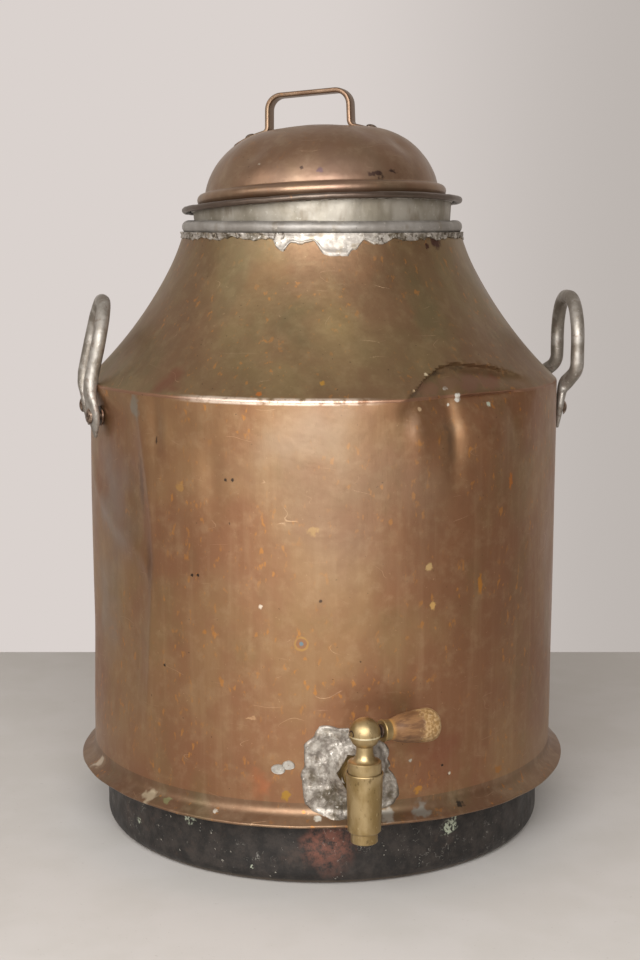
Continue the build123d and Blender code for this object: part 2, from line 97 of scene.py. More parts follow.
@dataclass(frozen=True)
class Viewpoint:
    """Where the photograph was taken from, in metres and degrees."""

    turn: float = 7.5
    distance: float = 1.481
    aside: float = -0.0018
    height: float = 0.545
    pitch: float = 9.1
    focal_px: float = 1641.0
    frame_px: float = 960.0
    sensor: float = 36.0

    def place(self, x: float, y: float, z: float) -> Vector:
        """Turn a point with the view along +Y into the frame of the vat.

        Args:
            x: Metres to the right of the vat's axis.
            y: Metres behind the vat's axis.
            z: Height in metres.

        Returns:
            The same point in the vat's own frame.
        """
        turn = math.radians(-self.turn)
        return Vector((x * math.cos(turn) - y * math.sin(turn), x * math.sin(turn) + y * math.cos(turn), z))

    def bearings(self, points: np.ndarray) -> np.ndarray:
        """Bearing of each point in degrees, from the side that faces the viewer and to the right."""
        angle = np.degrees(np.arctan2(points[..., 1], points[..., 0])) + self.turn + 90.0
        return wrapped(angle)

    def spot(self, bearing: float, radius: float, height: float) -> tuple[float, float, float]:
        """Point in metres on the vat, from a bearing in degrees and a radius and height in millimetres."""
        angle = math.radians(bearing)
        point = self.place(radius * math.sin(angle) * MM, -radius * math.cos(angle) * MM, height * MM)
        return point.x, point.y, point.z


VIEW = Viewpoint()


def ease(value: np.ndarray, low: float, high: float) -> np.ndarray:
    """Smooth step from 0 at low to 1 at high."""
    share = np.clip((np.asarray(value, float) - low) / (high - low), 0.0, 1.0)
    return share * share * (3.0 - 2.0 * share)


def plateau(value: np.ndarray, ends: Sequence[float]) -> np.ndarray:
    """1 between the inner two of four ends, and smoothly down to 0 at the outer two."""
    return ease(value, ends[0], ends[1]) * (1 - ease(value, ends[2], ends[3]))


def wrapped(angle: np.ndarray) -> np.ndarray:
    """The same angle in degrees, between -180 and 180."""
    return (angle + 180.0) % 360.0 - 180.0


def polar(angle: np.ndarray, r: np.ndarray, z: np.ndarray) -> np.ndarray:
    """Points at an angle in radians round the upright axis, a radius and a height."""
    return np.stack(np.broadcast_arrays(np.cos(angle) * r, np.sin(angle) * r, z), axis=-1)


def swung(points: np.ndarray, degrees: float) -> np.ndarray:
    """Turn points round the upright axis."""
    cos, sin = math.cos(math.radians(degrees)), math.sin(math.radians(degrees))
    x, y, z = points[..., 0], points[..., 1], points[..., 2]
    return np.stack((x * cos - y * sin, x * sin + y * cos, z), axis=-1)


def travelled(path: np.ndarray) -> np.ndarray:
    """Way covered at each point of a path."""
    return np.concatenate(([0.0], np.cumsum(np.linalg.norm(np.diff(path, axis=0), axis=1))))


def ripple(u: np.ndarray, v: np.ndarray, wave: float, seed: int, octaves: int = 3) -> np.ndarray:
    """Smooth unevenness between about -1 and 1, from waves in fixed random directions.

    Args:
        u: First coordinate, in the same unit as wave.
        v: Second coordinate.
        wave: Length of the longest wave.
        seed: Seed of the directions and phases.
        octaves: Number of ever shorter sets of waves.

    Returns:
        The unevenness at each point.
    """
    rng = np.random.default_rng(seed)
    total = np.zeros(np.broadcast(u, v).shape)
    for octave in range(octaves):
        rate = 2.0 * math.pi / wave * 1.9 ** octave
        for _ in range(5):
            angle, phase = rng.uniform(0, math.pi), rng.uniform(0, 2 * math.pi)
            total += 0.55 ** octave * np.sin(rate * (u * math.cos(angle) + v * math.sin(angle)) + phase)
    return total / 4.5


class Profile:
    """Pen stroke in radius and height, in millimetres, that makes the section of a turned piece."""

    def __init__(self, r: float, z: float, heading: float, step: float = 2.5) -> None:
        """Start the stroke.

        Args:
            r: Radius of the first point.
            z: Height of the first point.
            heading: Direction in degrees, 0 outward and 90 up.
            step: Longest distance between points.
        """
        self.points = [(r, z)]
        self.headings = [heading]
        self.step = step

    def run(self, length: float) -> "Profile":
        """Go straight on."""
        angle = math.radians(self.headings[-1])
        r, z = self.points[-1]
        count = max(1, math.ceil(length / self.step))
        for i in range(1, count + 1):
            along = length * i / count
            self.points.append((r + along * math.cos(angle), z + along * math.sin(angle)))
            self.headings.append(self.headings[-1])
        return self

    def bend(self, radius: float, turn: float) -> "Profile":
        """Go round an arc, to the left where the turn in degrees is positive."""
        side = math.copysign(1.0, turn)
        start = self.headings[-1]
        r, z = self.points[-1]
        first = math.radians(start)
        centre = (r - side * radius * math.sin(first), z + side * radius * math.cos(first))
        count = max(2, math.ceil(abs(turn) / 9.0), math.ceil(radius * math.radians(abs(turn)) / self.step))
        for i in range(1, count + 1):
            heading = start + turn * i / count
            angle = math.radians(heading)
            aside, over = side * radius * math.sin(angle), side * radius * math.cos(angle)
            self.points.append((centre[0] + aside, centre[1] - over))
            self.headings.append(heading)
        return self

    def joggle(self, aside: float, rise: float) -> "Profile":
        """Step aside to the right by two equal arcs, within a length of rise."""
        angle = 2 * math.atan2(aside, rise)
        radius = rise / (2 * math.sin(angle))
        return self.bend(radius, -math.degrees(angle)).bend(radius, math.degrees(angle))

    def reach(self, share: float, r: float, z: float, heading: float) -> "Profile":
        """Go on by two smooth arcs to a point and heading; share is the second one's run next to the first's."""
        start, end = np.array(self.points[-1]), np.array((r, z))
        ahead, leave = (np.array((math.cos(a), math.sin(a))) for a in np.radians((self.headings[-1], heading)))
        across = end - start
        turn = 2 * share * (ahead @ leave - 1)
        along = across @ (ahead + share * leave)
        run = (along - math.sqrt(along ** 2 - turn * (across @ across))) / turn
        meeting = ((start + ahead * run) * share + end - leave * share * run) / (1 + share)
        for goal, way in ((meeting, ahead), (end, None)):
            chord = goal - np.array(self.points[-1])
            way = way if way is not None else np.array((math.cos(self.radians), math.sin(self.radians)))
            aside = np.array((-way[1], way[0]))
            radius = (chord @ chord) / (2 * (chord @ aside))
            self.bend(abs(radius), math.degrees(2 * math.asin(np.linalg.norm(chord) / (2 * radius))))
        return self

    @property
    def radians(self) -> float:
        """Heading in radians."""
        return math.radians(self.headings[-1])

    def sheet(self, gauge: float) -> np.ndarray:
        """Closed loop of a sheet that lies to the left of the stroke, or to the right where negative."""
        near = np.array(self.points)
        angle = np.radians(self.headings)
        far = near + gauge * np.stack((-np.sin(angle), np.cos(angle)), axis=1)
        return np.concatenate((near, far[::-1]))

    def solid(self, *corners: tuple[float, float]) -> np.ndarray:
        """Closed loop of the stroke and further corners."""
        return np.array([*self.points, *corners])


def stand(thing: bpy.types.Object) -> bpy.types.Object:
    """Put an object into the scene."""
    bpy.context.scene.collection.objects.link(thing)
    return thing


def merge(work: bmesh.types.BMesh, mesh: bpy.types.Mesh) -> None:
    """Merge points that meet, drop loose edges and write the result to a mesh."""
    bmesh.ops.remove_doubles(work, verts=work.verts, dist=1e-6)
    bmesh.ops.delete(work, geom=[e for e in work.edges if e.is_wire], context="EDGES")
    work.to_mesh(mesh)
    work.free()


def closed_mesh(name: str, rings: np.ndarray, weld: bool = False, crease: float = 38.0) -> bpy.types.Object:
    """Make an object from rings of section loops that wrap round both ways.

    Args:
        name: Name of the piece.
        rings: Points in millimetres, as stations by loop points by three.
        weld: Merge points that meet on an axis.
        crease: Angle in degrees above which an edge is shaded sharp.

    Returns:
        The new object, in metres.
    """
    stations, around = rings.shape[:2]
    index = np.arange(stations * around).reshape(stations, around)
    ahead = np.roll(index, -1, axis=0)
    quads = np.stack((index, np.roll(index, -1, axis=1), np.roll(ahead, -1, axis=1), ahead), axis=-1)
    quads = quads.reshape(-1, 4)
    points = rings.reshape(-1, 3) * MM
    a, b, c, d = (points[quads[:, i]] for i in range(4))
    if np.einsum("ij,ij->i", a, np.cross(b, c) + np.cross(c, d)).sum() < 0:
        quads = quads[:, ::-1]
    mesh = bpy.data.meshes.new(name)
    mesh.vertices.add(len(points))
    mesh.vertices.foreach_set("co", points.astype(np.float32).ravel())
    mesh.loops.add(quads.size)
    mesh.loops.foreach_set("vertex_index", quads.astype(np.int32).ravel())
    mesh.polygons.add(len(quads))
    mesh.polygons.foreach_set("loop_start", np.arange(0, quads.size, 4, dtype=np.int32))
    mesh.update(calc_edges=True)
    if weld:
        work = bmesh.new()
        work.from_mesh(mesh)
        merge(work, mesh)
    mesh.polygons.foreach_set("use_smooth", np.ones(len(mesh.polygons), dtype=bool))
    mesh.set_sharp_from_angle(angle=math.radians(crease))
    return stand(bpy.data.objects.new(name, mesh))


def turned(loop: np.ndarray, segments: int) -> np.ndarray:
    """Rings of a section loop turned round the upright axis."""
    angle = np.linspace(0.0, 2.0 * math.pi, segments, endpoint=False)[:, None]
    return polar(angle, loop[:, 0], loop[:, 1])


def filleted(corners: Sequence[Sequence[float]], radii: Sequence[float], step: float = 1.5) -> np.ndarray:
    """Points along straight runs joined by arcs.

    Args:
        corners: Corners of the line, in millimetres.
        radii: Arc radius at each inner corner.
        step: Longest distance between points.

    Returns:
        The points, evenly spaced.
    """
    nodes = [np.array(c, float) for c in corners]
    line = [nodes[0]]
    for before, corner, after, radius in zip(nodes, nodes[1:], nodes[2:], radii):
        come = (before - corner) / np.linalg.norm(before - corner)
        leave = (after - corner) / np.linalg.norm(after - corner)
        half = math.acos(np.clip(come @ leave, -1, 1)) / 2
        middle = (come + leave) / np.linalg.norm(come + leave)
        centre = corner + middle * radius / math.sin(half)
        first, last = (corner + way * radius / math.tan(half) - centre for way in (come, leave))
        sweep = math.pi - 2 * half
        for share in np.linspace(0, 1, 13):
            weights = (math.sin((1 - share) * sweep), math.sin(share * sweep))
            line.append(centre + (first * weights[0] + last * weights[1]) / math.sin(sweep))
    line.append(nodes[-1])
    path = np.array(line)
    length = travelled(path)
    even = np.linspace(0, length[-1], max(8, math.ceil(length[-1] / step)))
    return np.stack([np.interp(even, length, path[:, i]) for i in range(3)], axis=-1)


def forged(path: np.ndarray, normals: np.ndarray, sizes: np.ndarray, squareness: np.ndarray) -> np.ndarray:
    """Rings of a bar whose section changes along a path, closed at both ends.

    Args:
        path: Centre line in millimetres.
        normals: Direction of the bar's thickness at each point.
        sizes: Width and thickness at each point.
        squareness: 2 for a round section, more for a flatter one.

    Returns:
        Stations by section points by three.
    """
    ahead = np.gradient(path, axis=0)
    ahead /= np.linalg.norm(ahead, axis=1, keepdims=True)
    thick = normals - np.einsum("ij,ij->i", normals, ahead)[:, None] * ahead
    thick /= np.linalg.norm(thick, axis=1, keepdims=True)
    wide = np.cross(ahead, thick)
    angle = np.linspace(0, 2 * math.pi, 28, endpoint=False)
    power = (2.0 / squareness)[:, None]
    across = np.sign(np.cos(angle)) * np.abs(np.cos(angle)) ** power * sizes[:, :1] / 2
    over = np.sign(np.sin(angle)) * np.abs(np.sin(angle)) ** power * sizes[:, 1:] / 2
    return path[:, None] + across[..., None] * wide[:, None] + over[..., None] * thick[:, None]


def capped(rings: np.ndarray) -> np.ndarray:
    """Add a point ring at each end, so that a wrapped mesh closes there."""
    ends = [np.broadcast_to(rings[i].mean(axis=0), rings[i].shape) for i in (0, -1)]
    return np.concatenate((ends[0][None], rings, ends[1][None]))


def bar_object(name: str, rings: np.ndarray, crease: float = 60.0) -> bpy.types.Object:
    """Object of a bar whose two ends are closed and not joined to each other."""
    whole = capped(rings)
    around = whole.shape[1]
    thing = closed_mesh(name, whole, crease=crease)
    work = bmesh.new()
    work.from_mesh(thing.data)
    work.verts.ensure_lookup_table()
    last = (len(whole) - 1) * around
    seam = [f for f in work.faces if {v.index < around for v in f.verts} == {True, False}
            and any(v.index >= last for v in f.verts)]
    bmesh.ops.delete(work, geom=seam, context="FACES_ONLY")
    merge(work, thing.data)
    return thing


@dataclass
class Dents:
    """Marks of a hard life: how far the sheet is pushed in, in millimetres, by bearing and height.

    The fold is the line along which the right shoulder is crushed, and the ridge is the edge of the flat place
    on the left of the wall.
    """

    fold: tuple[tuple[float, float], ...] = (
        (14.0, 400.0), (17.0, 400.5), (21.0, 409.0), (25.0, 418.0), (30.5, 426.0), (35.5, 428.5),
        (42.0, 426.0), (47.0, 424.0), (52.0, 419.5), (57.0, 414.0), (66.0, 409.0),
    )
    radius: float = 210.0
    fold_depth: float = 5.5
    fold_width: float = 4.5
    crush_depth: float = 13.0
    crush_reach: float = 36.0
    edge_height: float = 404.0
    lip_depth: float = 2.6
    lip_height: float = 401.5
    lip_width: float = 2.0
    # Bearings where each mark starts, is full, begins to fade and has gone
    fold_ends: tuple[float, ...] = (15.5, 24.0, 50.0, 62.0)
    crush_ends: tuple[float, ...] = (15.5, 30.0, 40.0, 60.0)
    lip_ends: tuple[float, ...] = (33.0, 36.0, 51.0, 55.0)
    strip_ends: tuple[float, ...] = (-82.0, -68.0, -46.0, -42.0)
    ridge: tuple[tuple[float, float], ...] = (
        (90.0, -45.5), (145.0, -44.4), (266.0, -41.8), (300.0, -42.3), (365.0, -45.3), (401.0, -47.0),
    )
    flat_depth: float = 6.5
    flat_width: float = 11.0
    # Heights where the flat starts, is full, begins to fade and has gone
    flat_ends: tuple[float, ...] = (95.0, 190.0, 375.0, 402.0)
    strip_depth: float = 2.2
    strip_width: float = 12.0
    # The pressed-in shape fades out on the way up the shoulder
    fade_from: float = 440.0
    fade_to: float = 515.0
    # Round knocks: bearing, height, half width, half height, depth
    knocks: tuple[tuple[float, float, float, float, float], ...] = (
        (-40.5, 378.0, 7.0, 20.0, 2.2), (-37.0, 372.0, 5.0, 12.0, -0.8), (-25.0, 342.0, 9.0, 26.0, 1.3),
        (-55.5, 392.0, 16.0, 9.0, 2.0), (30.5, 376.0, 9.0, 34.0, 4.2), (21.5, 378.0, 9.0, 30.0, -1.6),
        (42.0, 356.0, 16.0, 26.0, -1.6), (50.0, 380.0, 12.0, 20.0, 2.0), (36.0, 414.0, 20.0, 9.0, -1.5),
        (12.0, 396.0, 12.0, 7.0, -0.4), (-5.0, 300.0, 40.0, 50.0, 0.7), (22.0, 250.0, 34.0, 60.0, -0.6),
        (62.0, 330.0, 30.0, 70.0, 1.0), (-12.0, 170.0, 40.0, 40.0, 0.6), (150.0, 260.0, 40.0, 50.0, 4.0),
        (-140.0, 180.0, 30.0, 36.0, 3.0), (110.0, 380.0, 26.0, 20.0, 3.0),
    )

    def depth(self, bearing: np.ndarray, height: np.ndarray) -> np.ndarray:
        """How far the sheet is pushed in at each place.

        Args:
            bearing: Bearing in degrees.
            height: Height in millimetres.

        Returns:
            The depth in millimetres, negative where the sheet stands out.
        """
        push = self.crushed(bearing, height) + self.flattened(bearing, height)
        arc = math.radians(1.0) * self.radius
        for at, level, wide, tall, deep in self.knocks:
            push += deep * np.exp(-(wrapped(bearing - at) * arc / wide) ** 2 - ((height - level) / tall) ** 2)
        swell = 0.35 * np.sin(np.radians(7 * bearing + 40)) + 0.25 * np.sin(np.radians(13 * bearing) + height / 60)
        fine = 0.16 * ripple(bearing * arc, height * 0.5, 70.0, 5)
        return push + (swell + fine) * ease(height, 80.0, 110.0)

    def crushed(self, bearing: np.ndarray, height: np.ndarray) -> np.ndarray:
        """Crushed right shoulder: a sharp fold, the hollow below it and the lip left standing at the edge."""
        line = np.array(self.fold)
        top = np.interp(bearing, line[:, 0], line[:, 1])
        below = top - height
        drop = np.clip(below / self.fold_width, 0, None)
        push = self.fold_depth * plateau(bearing, self.fold_ends) * drop * np.exp(1 - drop)
        upper = np.clip(below / np.maximum(top - self.edge_height + 6.0, 3.0), 0, 1) ** 0.8
        lower = 1 - ease(self.edge_height - height, -2.0, self.crush_reach)
        hollow = np.where(height > self.edge_height, upper, np.minimum(upper, lower))
        push += self.crush_depth * plateau(bearing, self.crush_ends) * hollow
        lip = np.exp(-((height - self.lip_height) / self.lip_width) ** 2)
        return push + self.lip_depth * plateau(bearing, self.lip_ends) * lip

    def flattened(self, bearing: np.ndarray, height: np.ndarray) -> np.ndarray:
        """Flat place on the left of the wall, with a slanting strip that stands out of it."""
        edge = np.array(self.ridge)
        past = np.interp(height, edge[:, 0], edge[:, 1]) - bearing
        share = np.clip(past / self.flat_width, 0, None)
        flat = self.flat_depth * plateau(height, self.flat_ends) * share * np.exp(1 - share)
        slant = height - (304.0 - 2.0 * (bearing + 65.8))
        strip = self.strip_depth * plateau(bearing, self.strip_ends) * np.exp(-(slant / self.strip_width) ** 2)
        return flat * (1 - ease(past, 45.0, 75.0)) - strip

    def faded(self, bearing: np.ndarray, height: np.ndarray) -> np.ndarray:
        """Depth that fades out on the way up the shoulder."""
        return self.depth(bearing, height) * (1 - ease(height, self.fade_from, self.fade_to))

    def press(self, points: np.ndarray) -> np.ndarray:
        """Move points on the wall and shoulder in towards the axis."""
        radius = np.hypot(points[..., 0], points[..., 1])
        push = self.faded(VIEW.bearings(points), points[..., 2])
        pressed = points.copy()
        pressed[..., :2] *= (1 - push / np.maximum(radius, 1.0))[..., None]
        return pressed


# Settings that many nodes share
SMOOTH = {"interpolation_type": "SMOOTHSTEP"}
COLOURS = {"data_type": "RGBA"}
TIMES = {"operation": "MULTIPLY"}
MINUS = {"operation": "SUBTRACT"}
SCALE_AND_ADD = {"operation": "MULTIPLY_ADD"}

Socket = bpy.types.NodeSocket


class Graph:
    """Node tree of one material, or of the world."""

    def __init__(self, owner: bpy.types.Material | bpy.types.World) -> None:
        """Empty the tree of a new material or world.

        Args:
            owner: What the tree belongs to.
        """
        owner.use_nodes = True
        self.owner = owner
        self.tree = owner.node_tree
        self.tree.nodes.clear()

    def add(self, kind: str, settings: dict[str, Any] | None = None, *values: Any, take: str = "",
            **inputs: Any) -> Socket | None:
        """Add a node with its settings and links.

        Args:
            kind: Blender's name of the node.
            settings: Attributes of the node.
            values: A number, colour or socket for each input in use, in their order.
            take: Name of the wanted output, where it isn't the first in use.
            inputs: The same as values by name; an underscore in a name stands for a space.

        Returns:
            The wanted output, or nothing for a node that has none.
        """
        node = self.tree.nodes.new(kind)
        for key, value in (settings or {}).items():
            setattr(node, key, value)
        ready = [s for s in node.inputs if s.enabled]
        named = [(next(s for s in ready if s.name == key.replace("_", " ")), item) for key, item in inputs.items()]
        for socket, value in [*zip(ready, values), *named]:
            if isinstance(value, Socket):
                self.tree.links.new(value, socket)
            else:
                socket.default_value = value
        return next((s for s in node.outputs if s.enabled and take in ("", s.name)), None)

    @cached_property
    def place(self) -> Socket:
        """Place on the object, in metres."""
        return self.add("ShaderNodeTexCoord", take="Object")

    def cloud(self, size: float, detail: float = 3.0, stretch: Sequence[float] = (1, 1, 1), seed: float = 0.0,
              rough: float = 0.55) -> Socket:
        """Soft noise between 0 and 1.

        Args:
            size: How far across its blotches are, in millimetres.
            detail: Number of ever finer layers.
            stretch: How much longer the blotches are along each axis.
            seed: Shift that gives another pattern.
            rough: Share that each finer layer keeps.

        Returns:
            The noise.
        """
        where = self.add("ShaderNodeMapping", Vector=self.place, Scale=tuple(1 / s for s in stretch),
                         Location=(seed, seed * 0.7, -seed))
        return self.add("ShaderNodeTexNoise", Vector=where, Scale=1 / (size * MM), Detail=detail, Roughness=rough)

    def patches(self, low: float, high: float, *cloud: Any, top: float = 1.0, **more: Any) -> Socket:
        """Mask of the places where a cloud is high.

        Args:
            low: Noise below which the mask is 0.
            high: Noise above which it is full.
            cloud: What cloud() is given.
            top: The full mask.
            more: What cloud() is given by name.

        Returns:
            The mask.
        """
        return self.add("ShaderNodeMapRange", SMOOTH, self.cloud(*cloud, **more), low, high, 0.0, top)

    def wander(self, low: float, high: float, *cloud: Any, **more: Any) -> Socket:
        """Value that wanders between about low and high, as a cloud with the other arguments does."""
        return self.add("ShaderNodeMapRange", None, self.cloud(*cloud, **more), 0.3, 0.7, low, high)

    def lines(self, width: float, *cloud: Any, **more: Any) -> Socket:
        """Mask of the thin lines along which a cloud crosses its middle, as wide as that much of the noise."""
        above = self.add("ShaderNodeMath", MINUS, self.cloud(*cloud, **more), 0.5)
        away = self.add("ShaderNodeMath", {"operation": "ABSOLUTE"}, above)
        return self.add("ShaderNodeMapRange", SMOOTH, away, 0.0, width, 1.0, 0.0)

    def above(self, empty: float, full: float, top: float = 1.0) -> Socket:
        """Mask by height in millimetres, 0 at empty and top at full, which may lie below."""
        height = self.add("ShaderNodeSeparateXYZ", None, self.place, take="Z")
        ends = (empty, full, 0.0, top) if empty < full else (full, empty, top, 0.0)
        return self.add("ShaderNodeMapRange", SMOOTH, height, ends[0] * MM, ends[1] * MM, *ends[2:])

    def blot(self, at: Sequence[float], size: float, soft: float = 0.5, ragged: float = 0.4,
             squash: Sequence[float] = (1, 1, 1)) -> Socket:
        """Mask of one ragged mark.

        Args:
            at: Its middle in metres.
            size: Its radius in millimetres.
            soft: Share of the radius over which its edge fades.
            ragged: How far its edge strays, as a share of its radius.
            squash: How much longer it is along each axis.

        Returns:
            The mask.
        """
        noise = self.add("ShaderNodeTexNoise", None, Vector=self.place, Scale=1 / (size * MM * 0.9), Detail=2.0,
                         take="Color")
        stray = self.add("ShaderNodeVectorMath", MINUS, noise, (0.5, 0.5, 0.5))
        moved = self.add("ShaderNodeVectorMath", SCALE_AND_ADD, stray, (size * MM * ragged * 3,) * 3, self.place)
        away = self.add("ShaderNodeVectorMath", MINUS, moved, tuple(at))
        scaled = self.add("ShaderNodeVectorMath", TIMES, away, tuple(1 / s for s in squash))
        far = self.add("ShaderNodeVectorMath", {"operation": "LENGTH"}, scaled, take="Value")
        return self.add("ShaderNodeMapRange", SMOOTH, far, size * MM * (1 - soft), size * MM, 1.0, 0.0)

    def stain(self, under: Any, over: Any, *masks: Any) -> Socket:
        """Lay one colour over another.

        Args:
            under: The colour below, as a hex value or a socket.
            over: The colour on top, likewise.
            masks: Where it lies; several are multiplied.

        Returns:
            The mixed colour.
        """
        where = reduce(lambda total, mask: self.add("ShaderNodeMath", TIMES, total, mask), masks)
        below, top = (linear(colour) if isinstance(colour, str) else colour for colour in (under, over))
        return self.add("ShaderNodeMix", COLOURS, where, below, top)

    def finish(self, colour: Any, metal: float, rough: Any, *bumps: tuple[Any, float],
               **more: float) -> bpy.types.Material:
        """Close the graph with a Principled surface.

        Args:
            colour: Base colour.
            metal: Metallic share.
            rough: Roughness.
            bumps: Height socket and depth in millimetres of each relief.
            more: Other inputs of the surface by name, such as Coat_Weight.

        Returns:
            The material.
        """
        relief = {}
        for height, depth in bumps:
            below = {"Normal": relief["Normal"]} if relief else {}
            slope = self.add("ShaderNodeBump", None, Height=height, Distance=depth * MM, Strength=1.0, **below)
            relief = {"Normal": slope, "Coat_Normal": slope}
        surface = self.add("ShaderNodeBsdfPrincipled", None, Base_Color=colour, Metallic=metal, Roughness=rough,
                           **more, **relief)
        self.add("ShaderNodeOutputMaterial", None, surface)
        return self.owner


@dataclass(frozen=True)
class Mark:
    """One stain or blob on a sheet: place, radius in millimetres, colour, and how it spreads."""

    bearing: float
    height: float
    size: float
    colour: str
    ragged: float = 0.4
    tall: float = 1.0
    strength: float = 1.0
    soft: float = 0.5
    radius: float = 210.0


# Dried drops of solder and dirt on the flange
FLANGE_MARKS: tuple[Mark, ...] = (
    Mark(-68.0, 68.0, 8.0, "c9b8a2", 0.5, radius=216.0), Mark(-42.0, 64.0, 9.0, "bfae93", 0.55, radius=216.0),
    Mark(-37.0, 65.0, 5.0, "8f8a63", 0.6, radius=215.0), Mark(-24.0, 66.0, 3.0, "dcd6c8", 0.4, radius=216.0),
    Mark(-1.0, 66.0, 4.0, "e4e0d4", 0.4, radius=216.0), Mark(22.0, 66.0, 9.0, "8f8a80", 0.6, radius=215.0),
    Mark(32.0, 66.0, 5.0, "3c352c", 0.6, radius=215.0), Mark(14.0, 66.0, 8.0, "a9a296", 0.6, radius=215.0),
)

# Pits, drops, worn rings, runs and large ruddy places on the wall; and painted light: pale places that paint the
# highlight at the front, grey places that paint a reflection on the left flat, dark places that paint the shade along
# the flat's edge and in the crushed dent, and a pale place that paints the highlight on the bump beside it
WALL_MARKS: tuple[Mark, ...] = (
    Mark(-21.5, 339.0, 1.8, "2e1d14"), Mark(-19.8, 339.4, 1.8, "2e1d14"), Mark(-30.1, 259.0, 1.8, "2e1d14"),
    Mark(-28.5, 259.6, 1.8, "2e1d14"), Mark(-38.5, 179.0, 1.8, "2e1d14"), Mark(-0.4, 244.0, 1.8, "3a2418"),
    Mark(-13.6, 238.0, 2.2, "d8c9b4"), Mark(-40.3, 366.0, 1.5, "2e1d14", 0.5, tall=2.6, strength=0.8),
    Mark(-4.6, 208.8, 6.6, "a8804a", 0.15, soft=0.2), Mark(-4.6, 208.8, 4.8, "92694a", 0.15, soft=0.2),
    Mark(-4.6, 208.8, 2.2, "6f7f85", 0.3), Mark(-47.5, 391.0, 8.0, "8d8577", 0.5, tall=2.0, strength=0.8),
    Mark(33.5, 400.0, 3.2, "eeeae0", 0.5), Mark(42.6, 394.3, 2.6, "cfd6c2", 0.5),
    Mark(31.0, 396.0, 1.6, "e0dccf", 0.5), Mark(22.0, 395.0, 2.4, "d6b791", 0.5),
    Mark(-16.0, 145.0, 6.0, "c29a72", 0.5, tall=0.25, strength=0.7), Mark(48.0, 330.0, 3.0, "b9712d", 0.5, tall=3.0),
    Mark(24.0, 268.0, 3.6, "c9a873", 0.5), Mark(25.0, 236.0, 3.0, "d0a766", 0.5, tall=1.6),
    Mark(38.0, 248.0, 3.4, "b87c34", 0.5, tall=3.2), Mark(-2.0, 300.0, 5.0, "c09a5c", 0.6, strength=0.6),
    Mark(-33.0, 330.0, 5.0, "b88a4b", 0.6, strength=0.6),
    # Painted highlight: paler, greyer places at the front, where the lamp's highlight falls
    Mark(2.0, 330.0, 105.0, "8f7c66", 0.6, strength=0.4, soft=0.9, tall=1.2),
    Mark(-2.0, 382.0, 60.0, "a5927c", 0.6, strength=0.4, soft=0.8, tall=0.6),
    # Painted reflection: grey places on the left flat
    Mark(-60.0, 300.0, 44.0, "8b8580", 0.5, strength=0.5, soft=0.9, tall=1.9),
    Mark(-66.0, 210.0, 36.0, "8b8580", 0.5, strength=0.4, soft=0.9, tall=2.0),
    # Painted shade along the edge of the left flat
    Mark(-46.5, 330.0, 7.0, "5d4032", 0.4, strength=0.6, soft=0.9, tall=5.0),
    Mark(-43.5, 262.0, 7.0, "5d4032", 0.4, strength=0.5, soft=0.9, tall=5.0),
    # Painted shade in the hollow under the crushed shoulder, then a painted highlight on the bump beside it
    Mark(30.0, 372.0, 9.0, "6a5340", 0.5, strength=0.6, soft=0.9, tall=3.4),
    Mark(20.0, 384.0, 10.0, "b08f74", 0.5, strength=0.5, soft=0.9, tall=1.8),
    Mark(10.0, 92.0, 36.0, "8a4c35", 0.6, strength=0.5, soft=0.9),
    Mark(28.0, 110.0, 34.0, "86503a", 0.6, strength=0.55, soft=0.9),
    Mark(-14.0, 88.0, 16.0, "b06a45", 0.6, strength=0.6, soft=0.9), Mark(-8.0, 82.0, 5.0, "a87f33", 0.6),
    Mark(22.0, 82.0, 6.0, "b5803a", 0.6, tall=0.6), Mark(45.0, 84.0, 6.0, "a5713a", 0.6, tall=0.6),
    Mark(28.0, 100.0, 1.5, "2b2018"), Mark(20.0, 108.0, 1.7, "b8b4a6"), Mark(30.0, 92.0, 1.6, "d8d2c2"),
)

# Red places of the crushed edge, dark places that paint the shadow under its fold, glints on its fold, and rubbed
# places on the shoulder
SHOULDER_MARKS: tuple[Mark, ...] = (
    Mark(-38.0, 412.0, 26.0, "7d4f38", 0.5, 0.5, 0.8, 0.8), Mark(33.5, 403.0, 3.2, "f2eee4", 0.4),
    Mark(30.8, 409.0, 2.4, "e6e2d6", 0.5), Mark(21.0, 409.0, 2.6, "d9bd96", 0.5),
    Mark(25.5, 421.0, 2.0, "e0cfae", 0.5), Mark(48.0, 414.0, 12.0, "83523c", 0.6, 0.7, 0.7, 0.8),
    Mark(38.0, 412.0, 14.0, "85614c", 0.5, 0.8, 0.9, 0.5), Mark(26.0, 410.0, 13.0, "8b684f", 0.5, 0.7, 0.9, 0.5),
    Mark(32.0, 414.0, 13.0, "80624a", 0.5, 0.7, 0.8, 0.5), Mark(45.0, 411.0, 11.0, "86604a", 0.5, 0.8, 0.85, 0.5),
    # Painted shadow under the fold: the dark 4d3d2c marks here and the 4f3c2a mark below
    Mark(30.0, 421.0, 9.0, "4d3d2c", 0.5, 0.35, 0.6, 0.8), Mark(37.0, 423.0, 9.0, "4d3d2c", 0.5, 0.3, 0.6, 0.8),
    Mark(20.5, 407.0, 6.0, "4f3c2a", 0.5, 0.5, 0.6, 0.8), Mark(2.0, 470.0, 40.0, "8f7a4e", 0.6, 1.0, 0.3, 0.9),
    Mark(-20.0, 500.0, 26.0, "8f6240", 0.6, 1.0, 0.25, 0.9), Mark(16.0, 505.0, 24.0, "8c6040", 0.6, 1.0, 0.2, 0.9),
    Mark(50.0, 524.0, 7.0, "4c2a1c", 0.6), Mark(44.0, 521.0, 3.0, "4c2a1c", 0.6),
    Mark(-14.0, 408.0, 3.0, "b86f32", 0.5), Mark(0.0, 416.0, 3.0, "b88a3c", 0.5),
)

